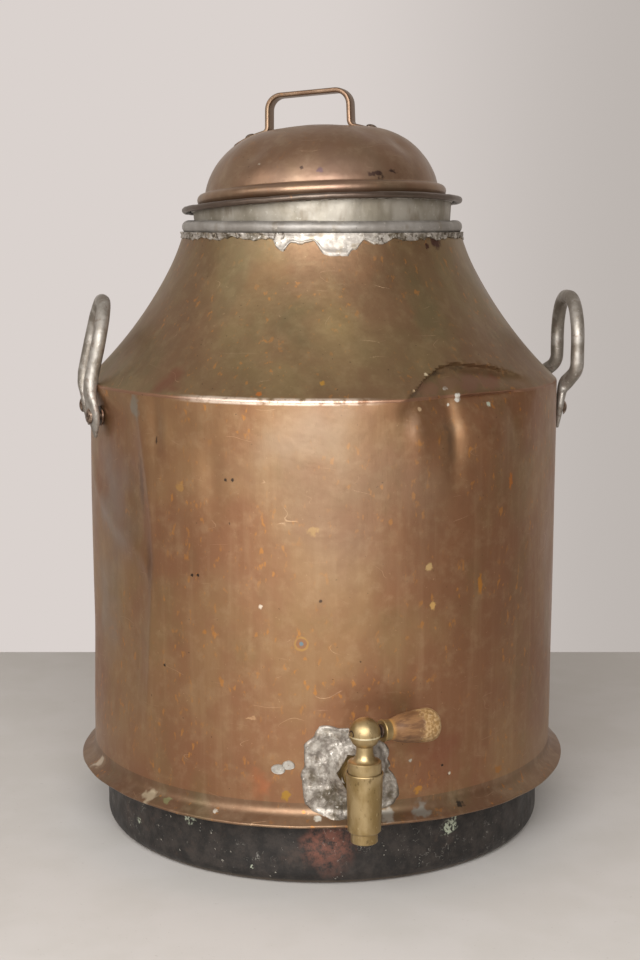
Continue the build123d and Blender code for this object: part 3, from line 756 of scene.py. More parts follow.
# Dark and pale spots on the dome
LID_MARKS: tuple[Mark, ...] = (
    Mark(-34.0, 590.0, 2.4, "d8d2c0", 0.4, radius=97.0), Mark(-10.0, 586.0, 2.4, "3a251a", 0.5, radius=99.0),
    Mark(-1.0, 584.0, 4.0, "6d5560", 0.5, radius=100.0), Mark(26.0, 580.0, 9.0, "3a2219", 0.7, 0.35, radius=101.0),
    Mark(36.0, 583.0, 5.0, "3a2219", 0.7, 0.5, radius=101.0), Mark(15.0, 592.0, 2.4, "3a2219", 0.5, radius=98.0),
    Mark(0.0, 580.0, 60.0, "97796a", 0.6, 0.4, 0.4, 0.9, radius=101.0),
)


@dataclass(frozen=True)
class TarnishedCopper:
    """Rolled copper sheet, long tarnished and wiped: a brown oxide skin over warm metal, with a soft shine.

    The oxide gives the brown, thin places show orange, verdigris shows olive, and wiping leaves upright streaks.
    The clear film stands for the wax and grease of that wiping.
    """

    name: str
    base: str = "96734f"
    ruddy: str = "8b6143"
    olive: str = "846d47"
    pale: str = "b39672"
    orange: str = "b87c3c"
    dark: str = "3a261b"
    dust: str = "c9a982"
    # Pale rubbed copper, also the painted highlight along the shoulder's edge
    rubbed: str = "ecd8c6"
    scored: str = "d2b08c"
    olive_share: float = 0.45
    streaks: float = 0.35
    flecks: float = 1.0
    rough: float = 0.46
    metal: float = 0.85
    coat: float = 0.38
    coat_rough: float = 0.42
    foot: str = ""
    foot_height: float = 0.0
    # Pale band along the shoulder's edge, rubbed copper that also paints its highlight: bearing and height of its
    # middle, half length and half height in millimetres
    rubbed_highlight_edge: tuple[float, float, float, float] | None = None
    marks: tuple[Mark, ...] = ()

    def build(self) -> bpy.types.Material:
        """Make the material."""
        g = Graph(bpy.data.materials.new(self.name))
        colour = self.skin(g)
        if self.foot:
            edge = (self.foot_height + 0.5, self.foot_height - 0.5)
            colour = g.stain(colour, self.foot, g.above(*edge))
        colour = self.specks(g, colour)
        for mark in self.marks:
            at = VIEW.spot(mark.bearing, mark.radius, mark.height)
            blot = g.blot(at, mark.size, mark.soft, mark.ragged, (1, 1, mark.tall))
            colour = g.stain(colour, mark.colour, blot, mark.strength)
        # Rubbed edge of the shoulder, painted pale as its highlight as well as its wear
        if self.rubbed_highlight_edge:
            bearing, middle, half, tall = self.rubbed_highlight_edge
            reach = g.blot(VIEW.spot(bearing, Mark.radius, middle), half, 0.5, 0.1)
            colour = g.stain(colour, self.rubbed, g.above(middle - tall, middle - tall * 0.5),
                             g.above(middle + tall, middle + tall * 0.5), reach,
                             g.patches(0.32, 0.55, 9.0, 4.0, seed=38.0), 0.85)
        scored = g.add("ShaderNodeMath", TIMES, g.lines(0.0035, 30.0, 0.5, (1.6, 1.6, 0.5), 50.0),
                       g.patches(0.56, 0.66, 24.0, 2.0, seed=53.0))
        colour = g.stain(colour, self.scored, scored, 0.45)
        rough = g.wander(self.rough - 0.06, self.rough + 0.09, 38.0, 4.0, (1, 1, 1.4), 44.0)
        grain, waves = g.cloud(1.6, 2.0, (1, 1, 5), 41.0), g.cloud(14.0, 2.0, seed=60.0)
        return g.finish(colour, self.metal, rough, (grain, 0.05), (waves, 0.35), (scored, -0.06),
                        Coat_Weight=self.coat, Coat_Roughness=self.coat_rough)

    def skin(self, g: Graph) -> Socket:
        """Oxide in broad patches, with olive places and wiped, upright streaks."""
        streak, shade = 0.5 * self.streaks, 0.45 * self.streaks
        colour = g.stain(self.ruddy, self.base, g.patches(0.40, 0.66, 110.0, 3.0, seed=1.0))
        for over, mask in (
            (self.olive, g.patches(0.50, 0.72, 55.0, 4.0, (1, 1, 1.5), 3.0, top=self.olive_share)),
            (self.pale, g.patches(0.48, 0.74, 9.0, 3.0, (1, 1, 14), 5.0, top=streak)),
            (self.ruddy, g.patches(0.50, 0.76, 16.0, 3.0, (1, 1, 9), 9.0, top=shade)),
            (self.pale, g.patches(0.46, 0.72, 13.0, 5.0, seed=17.0, rough=0.65, top=0.26)),
            (self.ruddy, g.patches(0.48, 0.72, 19.0, 5.0, (1, 1, 1.6), 19.0, top=0.40)),
        ):
            colour = g.stain(colour, over, mask)
        return colour

    def specks(self, g: Graph, colour: Socket) -> Socket:
        """Orange drips in groups, pale dust and dark pits."""
        drips = (g.patches(0.60, 0.72, 4.6, 2.0, (1, 1, 1.9), 12.0), g.patches(0.40, 0.60, 60.0, 2.0, seed=14.0))
        colour = g.stain(colour, self.orange, *drips, 0.75 * self.flecks)
        colour = g.stain(colour, self.dust, g.patches(0.70, 0.78, 2.4, 2.0, seed=21.0), 0.35 * self.flecks)
        return g.stain(colour, self.dark, g.patches(0.775, 0.81, 3.0, 1.0, seed=31.0), 0.7)


@dataclass(frozen=True)
class BlackenedCopper:
    """Copper that stood over a fire: matt soot and scale, knocked off in places down to red metal."""

    name: str = "fire_blackened_copper"
    soot: str = "262321"
    ash: str = "3c3632"
    brown: str = "55443b"
    red: str = "7f5142"
    curl: str = "b7b4aa"
    scale: str = "b9b4a6"
    crust: str = "aab09c"
    worn: str = "7a6650"
    radius: float = 199.0
    # Crusts: bearing, height and radius in millimetres
    crusts: tuple[Vec3, ...] = ((32.7, 41.0, 9.0), (-34.0, 46.0, 5.5), (-53.0, 28.0, 3.5), (-17.0, 14.0, 2.0))

    def build(self) -> bpy.types.Material:
        """Make the material."""
        g = Graph(bpy.data.materials.new(self.name))
        colour = g.stain(self.soot, self.ash, g.patches(0.38, 0.66, 15.0, 6.0, seed=2.0, rough=0.7))
        colour = g.stain(colour, self.brown, g.patches(0.54, 0.72, 34.0, 5.0, seed=6.0, rough=0.7, top=0.5))
        bare = g.blot(VIEW.spot(1.5, self.radius, 38.0), 27.0, 0.8, 0.45, (1, 1, 1.3))
        colour = g.stain(colour, self.red, bare, g.patches(0.36, 0.60, 7.0, 6.0, seed=8.0, rough=0.7), 0.8)
        where = (g.patches(0.54, 0.62, 9.0, 3.0, seed=36.0), g.patches(0.44, 0.56, 60.0, 1.0, seed=39.0))
        colour = g.stain(colour, self.curl, g.lines(0.016, 6.0, 2.0, seed=33.0), *where, 0.45)
        flecks = g.add("ShaderNodeMath", TIMES, g.patches(0.66, 0.72, 3.2, 3.0, seed=11.0),
                       g.patches(0.50, 0.60, 30.0, 2.0, seed=15.0))
        colour = g.stain(colour, self.scale, flecks, 0.8)
        for bearing, height, size in self.crusts:
            blot = g.blot(VIEW.spot(bearing, self.radius, height), size, 0.4, 0.55)
            colour = g.stain(colour, self.crust, blot, g.patches(0.42, 0.56, 2.6, 3.0, seed=17.0))
        colour = g.stain(colour, self.worn, g.above(6.0, 1.0, 0.6))
        rough = g.add("ShaderNodeMapRange", None, g.patches(0.2, 0.8, 18.0, 4.0, seed=22.0), 0.0, 1.0, 0.42, 0.66)
        return g.finish(colour, 0.35, rough, (g.cloud(5.0, 4.0, seed=25.0), 0.35), (flecks, 0.25))


@dataclass(frozen=True)
class Tinned:
    """Iron dipped in tin: dull silvery grey, with brown stains along seams and a few runs of solder."""

    name: str
    tin: str
    dull: str
    stain: str = "7a6d5c"
    run: str = "c4bfb2"
    pit: str = "3d352b"

    def build(self) -> bpy.types.Material:
        """Make the material."""
        g = Graph(bpy.data.materials.new(self.name))
        colour = g.stain(self.dull, self.tin, g.patches(0.36, 0.64, 24.0, 4.0, (1, 1, 1.5), 2.0))
        colour = g.stain(colour, self.stain, g.patches(0.56, 0.72, 13.0, 3.0, (1, 1, 3), 4.0, top=0.6))
        colour = g.stain(colour, self.run, g.patches(0.62, 0.72, 5.0, 3.0, seed=7.0, top=0.5))
        colour = g.stain(colour, self.pit, g.patches(0.72, 0.78, 2.6, 2.0, seed=9.0, top=0.7))
        return g.finish(colour, 0.6, g.wander(0.42, 0.58, 12.0, 3.0, seed=12.0),
                        (g.cloud(7.0, 3.0, seed=15.0), 0.3), (g.cloud(1.5, 2.0, seed=17.0), 0.05))


@dataclass(frozen=True)
class Solder:
    """Tin solder wiped on by hand: lumpy, grey in the hollows and bright on the crests, with trapped dirt."""

    name: str
    bright: str = "b7b0a6"
    grey: str = "999188"
    flux: str = "9c8d78"
    dirt: str = "4c4135"
    grime: str = "5b5140"
    glint: str = "e8e4da"
    lumps: float = 1.4
    dirty: float = 0.8
    # A wiped place that stays clean, and the foul hollows: place and radius in millimetres
    clean: tuple[Vec3, float] | None = None
    foul: tuple[tuple[Vec3, float], ...] = ()

    def build(self) -> bpy.types.Material:
        """Make the material."""
        g = Graph(bpy.data.materials.new(self.name))
        lumps = g.cloud(7.0, 4.0, seed=1.0, rough=0.6)
        colour = g.stain(self.grey, self.bright, g.add("ShaderNodeMapRange", SMOOTH, lumps, 0.40, 0.60, 0.0, 1.0))
        colour = g.stain(colour, self.flux, g.patches(0.54, 0.66, 10.0, 3.0, seed=5.0, top=0.7 * self.dirty))
        cracks = [g.patches(0.50, 0.62, 4.5, 4.0, seed=8.0, rough=0.7), self.dirty]
        if self.clean:
            cracks.append(g.add("ShaderNodeMath", MINUS, 1.0, g.blot(*self.clean, 0.3, 0.1)))
        colour = g.stain(colour, self.dirt, *cracks)
        for at, size in self.foul:
            hollow = g.blot(at, size, 0.7, 0.5)
            colour = g.stain(colour, self.grime, hollow, g.patches(0.36, 0.56, 5.0, 4.0, seed=21.0), 0.85)
        colour = g.stain(colour, self.glint, g.patches(0.66, 0.72, 3.5, 2.0, seed=12.0, top=0.6))
        return g.finish(colour, 0.6, g.wander(0.34, 0.60, 4.0, 3.0, seed=14.0),
                        (lumps, self.lumps), (g.cloud(2.2, 3.0, seed=18.0), 0.2 * self.lumps))


@dataclass(frozen=True)
class ForgedIron:
    """Wrought iron from the smith's hammer: faintly faceted, rubbed pale where it is held, rusty in its hollows."""

    name: str = "forged_iron"
    grey: str = "a8a29a"
    brown: str = "827a70"
    rust: str = "77655a"
    glint: str = "c9c4bb"

    def build(self) -> bpy.types.Material:
        """Make the material."""
        g = Graph(bpy.data.materials.new(self.name))
        colour = g.stain(self.brown, self.grey, g.patches(0.40, 0.62, 20.0, 4.0, seed=3.0))
        colour = g.stain(colour, self.rust, g.patches(0.56, 0.68, 5.0, 4.0, seed=6.0, top=0.6))
        colour = g.stain(colour, self.glint, g.patches(0.64, 0.72, 2.2, 2.0, seed=8.0, top=0.5))
        return g.finish(colour, 0.72, g.wander(0.40, 0.58, 8.0, 4.0, seed=10.0),
                        (g.cloud(9.0, 2.0, seed=12.0), 0.5), (g.cloud(2.0, 3.0, seed=14.0), 0.14))


@dataclass(frozen=True)
class TapBrass:
    """Cast brass, turned and long handled: mellow yellow-brown with dark corners and fine turning marks."""

    name: str = "tarnished_tap_brass"
    mellow: str = "b09a72"
    deep: str = "937c52"
    dark: str = "5f4c2e"
    glint: str = "d9c79a"

    def build(self) -> bpy.types.Material:
        """Make the material."""
        g = Graph(bpy.data.materials.new(self.name))
        colour = g.stain(self.deep, self.mellow, g.patches(0.36, 0.64, 14.0, 4.0, (1, 1, 2), 2.0))
        colour = g.stain(colour, self.dark, g.patches(0.60, 0.72, 3.5, 3.0, (1, 1, 2), 5.0, top=0.55))
        colour = g.stain(colour, self.glint, g.patches(0.70, 0.76, 1.8, 2.0, (1, 1, 4), 7.0, top=0.8))
        lathe = g.cloud(0.7, 1.0, (8, 8, 0.6), 11.0)
        return g.finish(colour, 0.88, g.wander(0.36, 0.50, 6.0, 3.0, seed=9.0),
                        (lathe, 0.015), (g.cloud(3.0, 3.0, seed=13.0), 0.08))


@dataclass(frozen=True)
class TurnedHardwood:
    """Turned hardwood handle, dark with use and worn pale and rough at its end.

    Grain runs along the handle, fine dark lines about a millimetre apart.
    """

    along: Vec3
    root: Vec3
    name: str = "turned_hardwood_worn"
    wood: str = "7a5839"
    dark: str = "64462e"
    light: str = "8a6542"
    frayed: str = "87683f"
    pale: str = "a98a62"
    fresh: str = "a87d40"
    knock: str = "4a3423"
    # Turn of the grain about Y in radians and about Z in degrees, so that it runs along the handle
    grain_dip: float = 0.044
    grain_turn: float = 22.5
    # Metres from the ball at which the end is worn and the neck is fresh
    worn_from: tuple[float, float] = (0.055, 0.061)
    fresh_until: tuple[float, float] = (0.0215, 0.026)

    def build(self) -> bpy.types.Material:
        """Make the material."""
        g = Graph(bpy.data.materials.new(self.name))
        away = g.add("ShaderNodeVectorMath", MINUS, g.place, self.root)
        far = g.add("ShaderNodeVectorMath", {"operation": "DOT_PRODUCT"}, away, self.along, take="Value")
        turn = g.add("ShaderNodeMapping", {"vector_type": "TEXTURE"}, Vector=away,
                     Rotation=(0.0, self.grain_dip, math.radians(self.grain_turn)))
        lines = g.add("ShaderNodeMapping", None, Vector=turn, Scale=(0.12, 1.0, 1.0))
        grain = g.add("ShaderNodeTexNoise", None, Vector=lines, Scale=900.0, Detail=3.0, Roughness=0.6)
        rings = g.add("ShaderNodeTexNoise", None, Vector=lines, Scale=260.0, Detail=2.0)
        colour = g.stain(self.dark, self.wood, g.add("ShaderNodeMapRange", SMOOTH, rings, 0.4, 0.62, 0.0, 1.0))
        colour = g.stain(colour, self.light, g.add("ShaderNodeMapRange", SMOOTH, grain, 0.5, 0.68, 0.0, 0.6))
        edge = g.add("ShaderNodeMath", SCALE_AND_ADD, g.cloud(6.0, 4.0, seed=4.0), 0.022, far)
        worn = g.add("ShaderNodeMapRange", SMOOTH, edge, *self.worn_from, 0.0, 1.0)
        end = g.stain(self.frayed, self.pale, g.patches(0.42, 0.60, 2.6, 4.0, seed=9.0))
        colour = g.stain(colour, end, worn)
        neck = g.add("ShaderNodeMapRange", SMOOTH, far, *self.fresh_until, 0.7, 0.0)
        colour = g.stain(colour, self.fresh, neck)
        colour = g.stain(colour, self.knock, g.patches(0.60, 0.72, 9.0, 3.0, seed=14.0, top=0.5))
        chips = g.add("ShaderNodeMath", TIMES, worn, g.cloud(3.0, 4.0, seed=19.0))
        return g.finish(colour, 0.0, 0.5, (grain, 0.10), (chips, 0.9), Specular_IOR_Level=0.35)


@dataclass(frozen=True)
class HammeredRivet:
    """Copper rivet, headed by hammer: darkened copper, rubbed to a duller brown on its crown."""

    name: str = "hammered_copper_rivet"
    base: str = "67564a"
    crown: str = "9a8676"
    pit: str = "3c2a20"

    def build(self) -> bpy.types.Material:
        """Make the material."""
        g = Graph(bpy.data.materials.new(self.name))
        colour = g.stain(self.base, self.crown, g.patches(0.42, 0.62, 3.5, 3.0, seed=2.0))
        colour = g.stain(colour, self.pit, g.patches(0.62, 0.72, 2.0, 2.0, seed=4.0, top=0.6))
        return g.finish(colour, 0.95, 0.34, (g.cloud(3.0, 1.0, seed=6.0), 0.5))


def dress(thing: bpy.types.Object, material: bpy.types.Material) -> None:
    """Give an object one material."""
    thing.data.materials.clear()
    thing.data.materials.append(material)


def settle(piece: bpy.types.Object, body: Body, slot: Slot, material: bpy.types.Material, *nodes: str) -> None:
    """Dress a new piece, seat it on its body and let it stand for CAD nodes.

    Args:
        piece: The new object.
        body: Body that it rides on.
        slot: Slot of the record that its finish follows; not used.
        material: Its material.
        nodes: Nodes that it stands for.
    """
    dress(piece, material)
    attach(piece, body.value)
    if nodes:
        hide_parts(*nodes)
    log.info("%s rides on %s", piece.name, body.value)


@dataclass
class Vessel:
    """Pan, flange, wall, shoulder, neck ring and their solder, in millimetres."""

    dents: Dents = field(default_factory=Dents)
    gauge: float = 1.5
    pan_gauge: float = 2.0
    pan_radius: float = 199.0
    pan_corner: float = 12.0
    pan_wall_top: float = 52.0
    wall_radius: float = 210.0
    wall_foot: float = 76.0
    shoulder: float = 404.0
    shoulder_bend: float = 2.5
    foot_lean: float = 47.0
    neck_lean: float = 17.0
    flank_share: float = 0.28
    neck_radius: float = 124.0
    neck_height: float = 531.0
    neck_bend: float = 2.5
    neck_bore: float = 116.0
    ring_width: float = 8.5
    ring_root: float = 3.0
    ring_height: float = 11.0
    lip_top: float = 401.4
    joggle_rise: float = 4.0
    pan_joggle_rise: float = 16.0
    pan_rim: float = 24.0
    collar: float = 12.0
    seam_half: float = 6.5
    seam_edge: float = 2.0
    segments: int = 640
    # Pale band along the shoulder's edge, rubbed copper that also paints its highlight: bearing and height of its
    # middle, half length and half height
    rubbed_highlight_edge: tuple[float, float, float, float] = (-11.0, 402.6, 92.0, 3.4)
    # Tongues of solder below the ring: bearing, half width and depth
    tongues: tuple[Vec3, ...] = (
        (4.0, 13.0, 12.5), (11.0, 8.0, 8.5), (-15.6, 6.0, 8.0), (22.0, 12.0, 3.5), (-8.0, 9.0, 3.0),
    )
    # Bearings of the dark places in the solder
    dark_places: tuple[float, ...] = (-66.0, -52.0, -38.0, -26.0, 30.0, 41.0, 52.0, 62.0, 72.0)
    # Spilt solder: bearing, height, radius and height over width
    spots: tuple[tuple[float, float, float, float], ...] = ((-9.8, 104.0, 6.0, 0.7), (-7.4, 107.6, 5.2, 0.75))

    @property
    def wall_top(self) -> float:
        """Height at which the shoulder's collar leaves the inside of the wall."""
        return self.shoulder - self.shoulder_bend * math.sin(math.radians(self.foot_lean)) - self.joggle_rise

    def build(self) -> None:
        """Make and dress every piece of the vessel."""
        self.pan()
        self.flange()
        self.wall()
        self.cone()
        self.ring()
        self.ring_solder()
        self.wall_spots()

    def pan(self) -> None:
        """Blackened base pan with its joggled rim."""
        stroke = Profile(0.0, 0.0, 0.0, 8.0).run(self.pan_radius - self.pan_corner).bend(self.pan_corner, 90.0)
        stroke.run(self.pan_wall_top - self.pan_corner)
        stroke.joggle(self.wall_radius - self.gauge - self.pan_radius, self.pan_joggle_rise).run(self.pan_rim)
        rings = turned(stroke.sheet(self.pan_gauge), 360)
        bearing = VIEW.bearings(rings)
        uneven = ripple(bearing * 3.5, rings[..., 2], 60.0, 8) * ease(rings[..., 2], 4.0, 20.0) * 0.5
        uneven *= 1 - ease(rings[..., 2], 44.0, 56.0)
        rings[..., :2] *= (1 - np.abs(uneven) / self.pan_radius)[..., None]
        piece = closed_mesh("pan_of_blackened_copper", rings, weld=True)
        settle(piece, Body.VAT, Slot.BLACKENED, BlackenedCopper().build(), "base_pan")

    def flange_stroke(self) -> Profile:
        """Upper face of the flange, from the wall out to its folded lip."""
        stroke = Profile(self.wall_radius, self.wall_foot, -90.0, 1.2).run(3.0).bend(9.0, 58.0).run(8.2)
        return stroke.bend(1.35, -176.0).run(5.0)

    def flange(self) -> None:
        """Flared flange with a folded lip, a little wavy along its edge."""
        rings = turned(self.flange_stroke().sheet(-self.gauge + 0.3), self.segments)
        bearing = VIEW.bearings(rings)
        reach = ease(np.hypot(rings[..., 0], rings[..., 1]), 212.0, 221.0)
        waves = 0.7 * np.sin(np.radians(5 * bearing + 30)) + 0.5 * ripple(bearing * 3.6, 0 * bearing, 50.0, 4)
        rings[..., 2] += reach * waves
        finish = TarnishedCopper("flange_copper", base="8b7057", ruddy="7a5b44", olive="78684c", pale="b39c80",
                                 olive_share=0.8, streaks=0.2, coat=0.15, marks=FLANGE_MARKS)
        piece = closed_mesh("flange_with_folded_lip", rings)
        settle(piece, Body.VAT, Slot.COPPER, finish.build(), "base_flange")

    def sink(self, marks: Sequence[Mark], outline: np.ndarray) -> tuple[Mark, ...]:
        """Move marks to the dented surface.

        Args:
            marks: Marks by bearing and height.
            outline: Radius and height of the round surface before its dents.

        Returns:
            The marks, each with the radius of its place.
        """
        placed = []
        for mark in marks:
            depth = self.dents.faded(np.array(mark.bearing), np.array(mark.height))
            radius = np.interp(mark.height, outline[:, 1], outline[:, 0])
            placed.append(replace(mark, radius=float(radius - depth)))
        return tuple(placed)

    def wall(self) -> None:
        """Dented wall with the lapped seam at its back."""
        stroke = Profile(self.wall_radius, self.wall_foot, 90.0, 3.0).run(self.lip_top - self.wall_foot)
        inside = Profile(self.wall_radius - self.gauge, self.wall_top, -90.0, 3.0).run(self.wall_top - self.wall_foot)
        rings = turned(stroke.solid((self.wall_radius - 0.3, self.lip_top), *inside.points), self.segments)
        back = np.abs(np.arctan2(rings[..., 0], rings[..., 1])) * self.wall_radius
        outside = np.hypot(rings[..., 0], rings[..., 1]) > self.wall_radius - 0.5
        lap = outside * (1 - ease(back, self.seam_half, self.seam_half + self.seam_edge))
        rings[..., :2] *= (1 + lap / self.wall_radius)[..., None]
        piece = closed_mesh("wall_of_rolled_copper", self.dents.press(rings))
        marks = self.sink(WALL_MARKS, np.array(((self.wall_radius, 0.0), (self.wall_radius, self.shoulder))))
        finish = TarnishedCopper("wall_copper", marks=marks, rubbed_highlight_edge=self.rubbed_highlight_edge)
        settle(piece, Body.VAT, Slot.COPPER, finish.build(), "body_shell")

    def cone_stroke(self) -> Profile:
        """Outer face of the shoulder, from its collar inside the wall to the neck."""
        stroke = Profile(self.wall_radius - self.gauge, self.wall_top - self.collar, 90.0).run(self.collar)
        stroke.joggle(self.gauge, self.joggle_rise).bend(self.shoulder_bend, self.foot_lean)
        top = self.neck_height - self.neck_bend * (1 - math.sin(math.radians(self.neck_lean)))
        return stroke.reach(self.flank_share, self.neck_radius, top, 90.0 + self.neck_lean)

    def cone(self) -> None:
        """Hollow-sided shoulder with its crushed edge on the right."""
        stroke = self.cone_stroke().bend(self.neck_bend, 90.0 - self.neck_lean).run(5.0)
        piece = closed_mesh("shoulder_of_copper", self.dents.press(turned(stroke.sheet(self.gauge), self.segments)))
        outline = np.array(self.cone_stroke().points)
        marks = self.sink(SHOULDER_MARKS, outline[outline[:, 1] > self.lip_top])
        finish = TarnishedCopper("shoulder_copper", base="86704d", ruddy="7e6044", olive="746747", pale="a18c68",
                                 olive_share=0.6, streaks=0.25, flecks=0.8, rough=0.45, marks=marks,
                                 foot="936c52", foot_height=self.shoulder, rubbed_highlight_edge=self.rubbed_highlight_edge)
        settle(piece, Body.VAT, Slot.COPPER, finish.build(), "shoulder_cone")

    def ring(self) -> None:
        """Half-round neck ring."""
        half = self.ring_height / 2
        middle = self.neck_height + half
        turns = np.radians(np.linspace(-90, 90, 15))
        out = self.neck_bore + self.ring_root + (self.ring_width - self.ring_root) * np.cos(turns)
        bulge = np.stack((out, middle + half * np.sin(turns)), axis=1)
        loop = np.concatenate((bulge, [(self.neck_bore, middle + half), (self.neck_bore, middle - half)]))
        rings = turned(loop, 480)
        bearing = VIEW.bearings(rings)
        rings[..., 2] += 0.35 * ripple(bearing * 2.1, 0 * bearing, 60.0, 3) * (rings[..., 2] > middle)
        piece = closed_mesh("neck_ring_tinned", rings)
        finish = Tinned("tinned_neck_ring", tin="9d9892", dull="857f78")
        settle(piece, Body.VAT, Slot.TINNED, finish.build(), "neck_ring")

    def ring_solder(self) -> None:
        """Ragged bead of solder under the ring, with the big wiped patch at the front."""
        segments, rows = 900, 16
        angle = np.linspace(0, 2 * math.pi, segments, endpoint=False)
        bearing = VIEW.bearings(np.stack((np.cos(angle), np.sin(angle)), axis=-1))
        arc = bearing * math.radians(1) * self.neck_radius
        # Lower edge: a ragged hem with the tongues that ran down
        low = 4.2 + 2.2 * ripple(arc, 0 * arc, 34.0, 11, 4) + 0.8 * ripple(arc, 0 * arc, 7.0, 12, 2)
        for at, wide, extra in self.tongues:
            low += extra * np.exp(-((bearing - at) * 2.16 / wide) ** 4)
        low = np.clip(low, 1.6, 17.5)
        outline = np.array(self.cone_stroke().points)
        upper = outline[outline[:, 1] > self.shoulder + 40.0]
        share = np.linspace(0, 1, rows)
        height = self.neck_height + 1.2 - (low[:, None] + 1.2) * share
        skin = np.interp(height, upper[:, 1], upper[:, 0])
        # Smooth where it was wiped, lumpy at the sides, with a thicker rim at its lower edge
        rough = 0.15 + 0.4 * ease(np.abs(bearing - 5.0), 16.0, 26.0)
        lumps = 1.0 + rough[:, None] * ripple(arc[:, None], height, 9.0, 14, 3)
        body = 1.5 * lumps * (1 - share) ** 0.5 * (0.35 + 0.65 * np.minimum(1, 4 / low))[:, None]
        thick = 0.25 + body + 0.55 * np.exp(-((share - 0.85) / 0.1) ** 2)
        outer = skin + np.clip(thick, 0.25, 3.2) * (share < 1)[None]
        inner = skin - 0.4
        r = np.concatenate((outer, inner[:, ::-1]), axis=1)
        z = np.concatenate((height, height[:, ::-1]), axis=1)
        piece = closed_mesh("neck_solder_ragged", polar(angle[:, None], r, z), crease=60.0)
        foul = tuple((VIEW.spot(at, 126.0, 527.0), 12.0) for at in self.dark_places)
        clean = (VIEW.spot(5.0, 124.0, 520.0), 42.0)
        finish = Solder("neck_solder", lumps=0.12, dirty=0.95, clean=clean, foul=foul)
        settle(piece, Body.VAT, Slot.SOLDER, finish.build(), "neck_solder")

    def patch(self, name: str, bearing: float, height: float, reach: np.ndarray, inner: float, thick: float,
              seed: int, cover: float = 0.0, climb: float = 0.0) -> bpy.types.Object:
        """Ragged patch of solder on the wall round a point.

        Args:
            name: Name of the piece.
            bearing: Bearing of its middle in degrees.
            height: Height of its middle.
            reach: Distance from the middle to the edge, evenly round.
            inner: Radius of the hole in its middle, or a small number for none.
            thick: Thickness near the middle.
            seed: Seed of its lumps.
            cover: Least thickness over the socket's disc.
            climb: How far it climbs the socket beyond that.

        Returns:
            The patch.
        """
        rows = 26
        turn = np.linspace(0, 2 * math.pi, len(reach), endpoint=False)[:, None]
        share = np.linspace(0, 1, rows)[None]
        away = inner + (reach[:, None] - inner) * share
        u, v = away * np.cos(turn), away * np.sin(turn)
        z = height + v
        # Below the wall's foot the patch follows the flange's flare
        flare = np.array(self.flange_stroke().points[:14])[::-1]
        skin = np.where(z < self.wall_foot, np.interp(z, flare[:, 1], flare[:, 0]), self.wall_radius)
        around = math.radians(bearing) + u / self.wall_radius
        lumps = 1 + 0.8 * ripple(u, v * 0.5, 11.0, seed, 4)
        # Thins out to a rounded rim; the middle covers the socket's disc and climbs its neck
        body = thick * lumps * (1 - 0.72 * share) + 0.6 * np.exp(-((share - 0.93) / 0.05) ** 2)
        body = np.maximum(body, cover * (1 - ease(away, 21.5, 27.0)) * (0.95 + 0.05 * lumps))
        body = body + climb * (0.85 + 0.2 * lumps) * (1 - ease(away, 12.0, 23.0))
        skin = skin - self.dents.depth(np.degrees(around), z) * ease(z, 80.0, 110.0)
        outer = skin + np.clip(body, 0.45, 6.0 + climb) * (share < 1)
        r = np.concatenate((outer, (skin - 0.4)[:, ::-1]), axis=1)
        z = np.concatenate((z, z[:, ::-1]), axis=1)
        around = np.concatenate((around, around[:, ::-1]), axis=1) - math.radians(VIEW.turn) - math.pi / 2
        return closed_mesh(name, polar(around, r, z), crease=60.0)

    def wall_spots(self) -> None:
        """Twin spots of solder on the wall, left of the tap."""
        finish = Solder("spilt_solder", lumps=0.15, dirty=0.1, bright="b9b4ab", grey="a19b92").build()
        turn = np.linspace(0, 2 * math.pi, 48, endpoint=False)
        for index, (bearing, height, size, tall) in enumerate(self.spots):
            uneven = 1 + 0.08 * ripple(turn * 10, 0 * turn, 22.0, 60 + index)
            reach = size * uneven / np.hypot(np.cos(turn), np.sin(turn) / tall)
            piece = self.patch(f"spilt_solder_{index + 1}", bearing, height, reach, 0.3, 0.4, 70 + index)
            settle(piece, Body.VAT, Slot.SOLDER, finish)


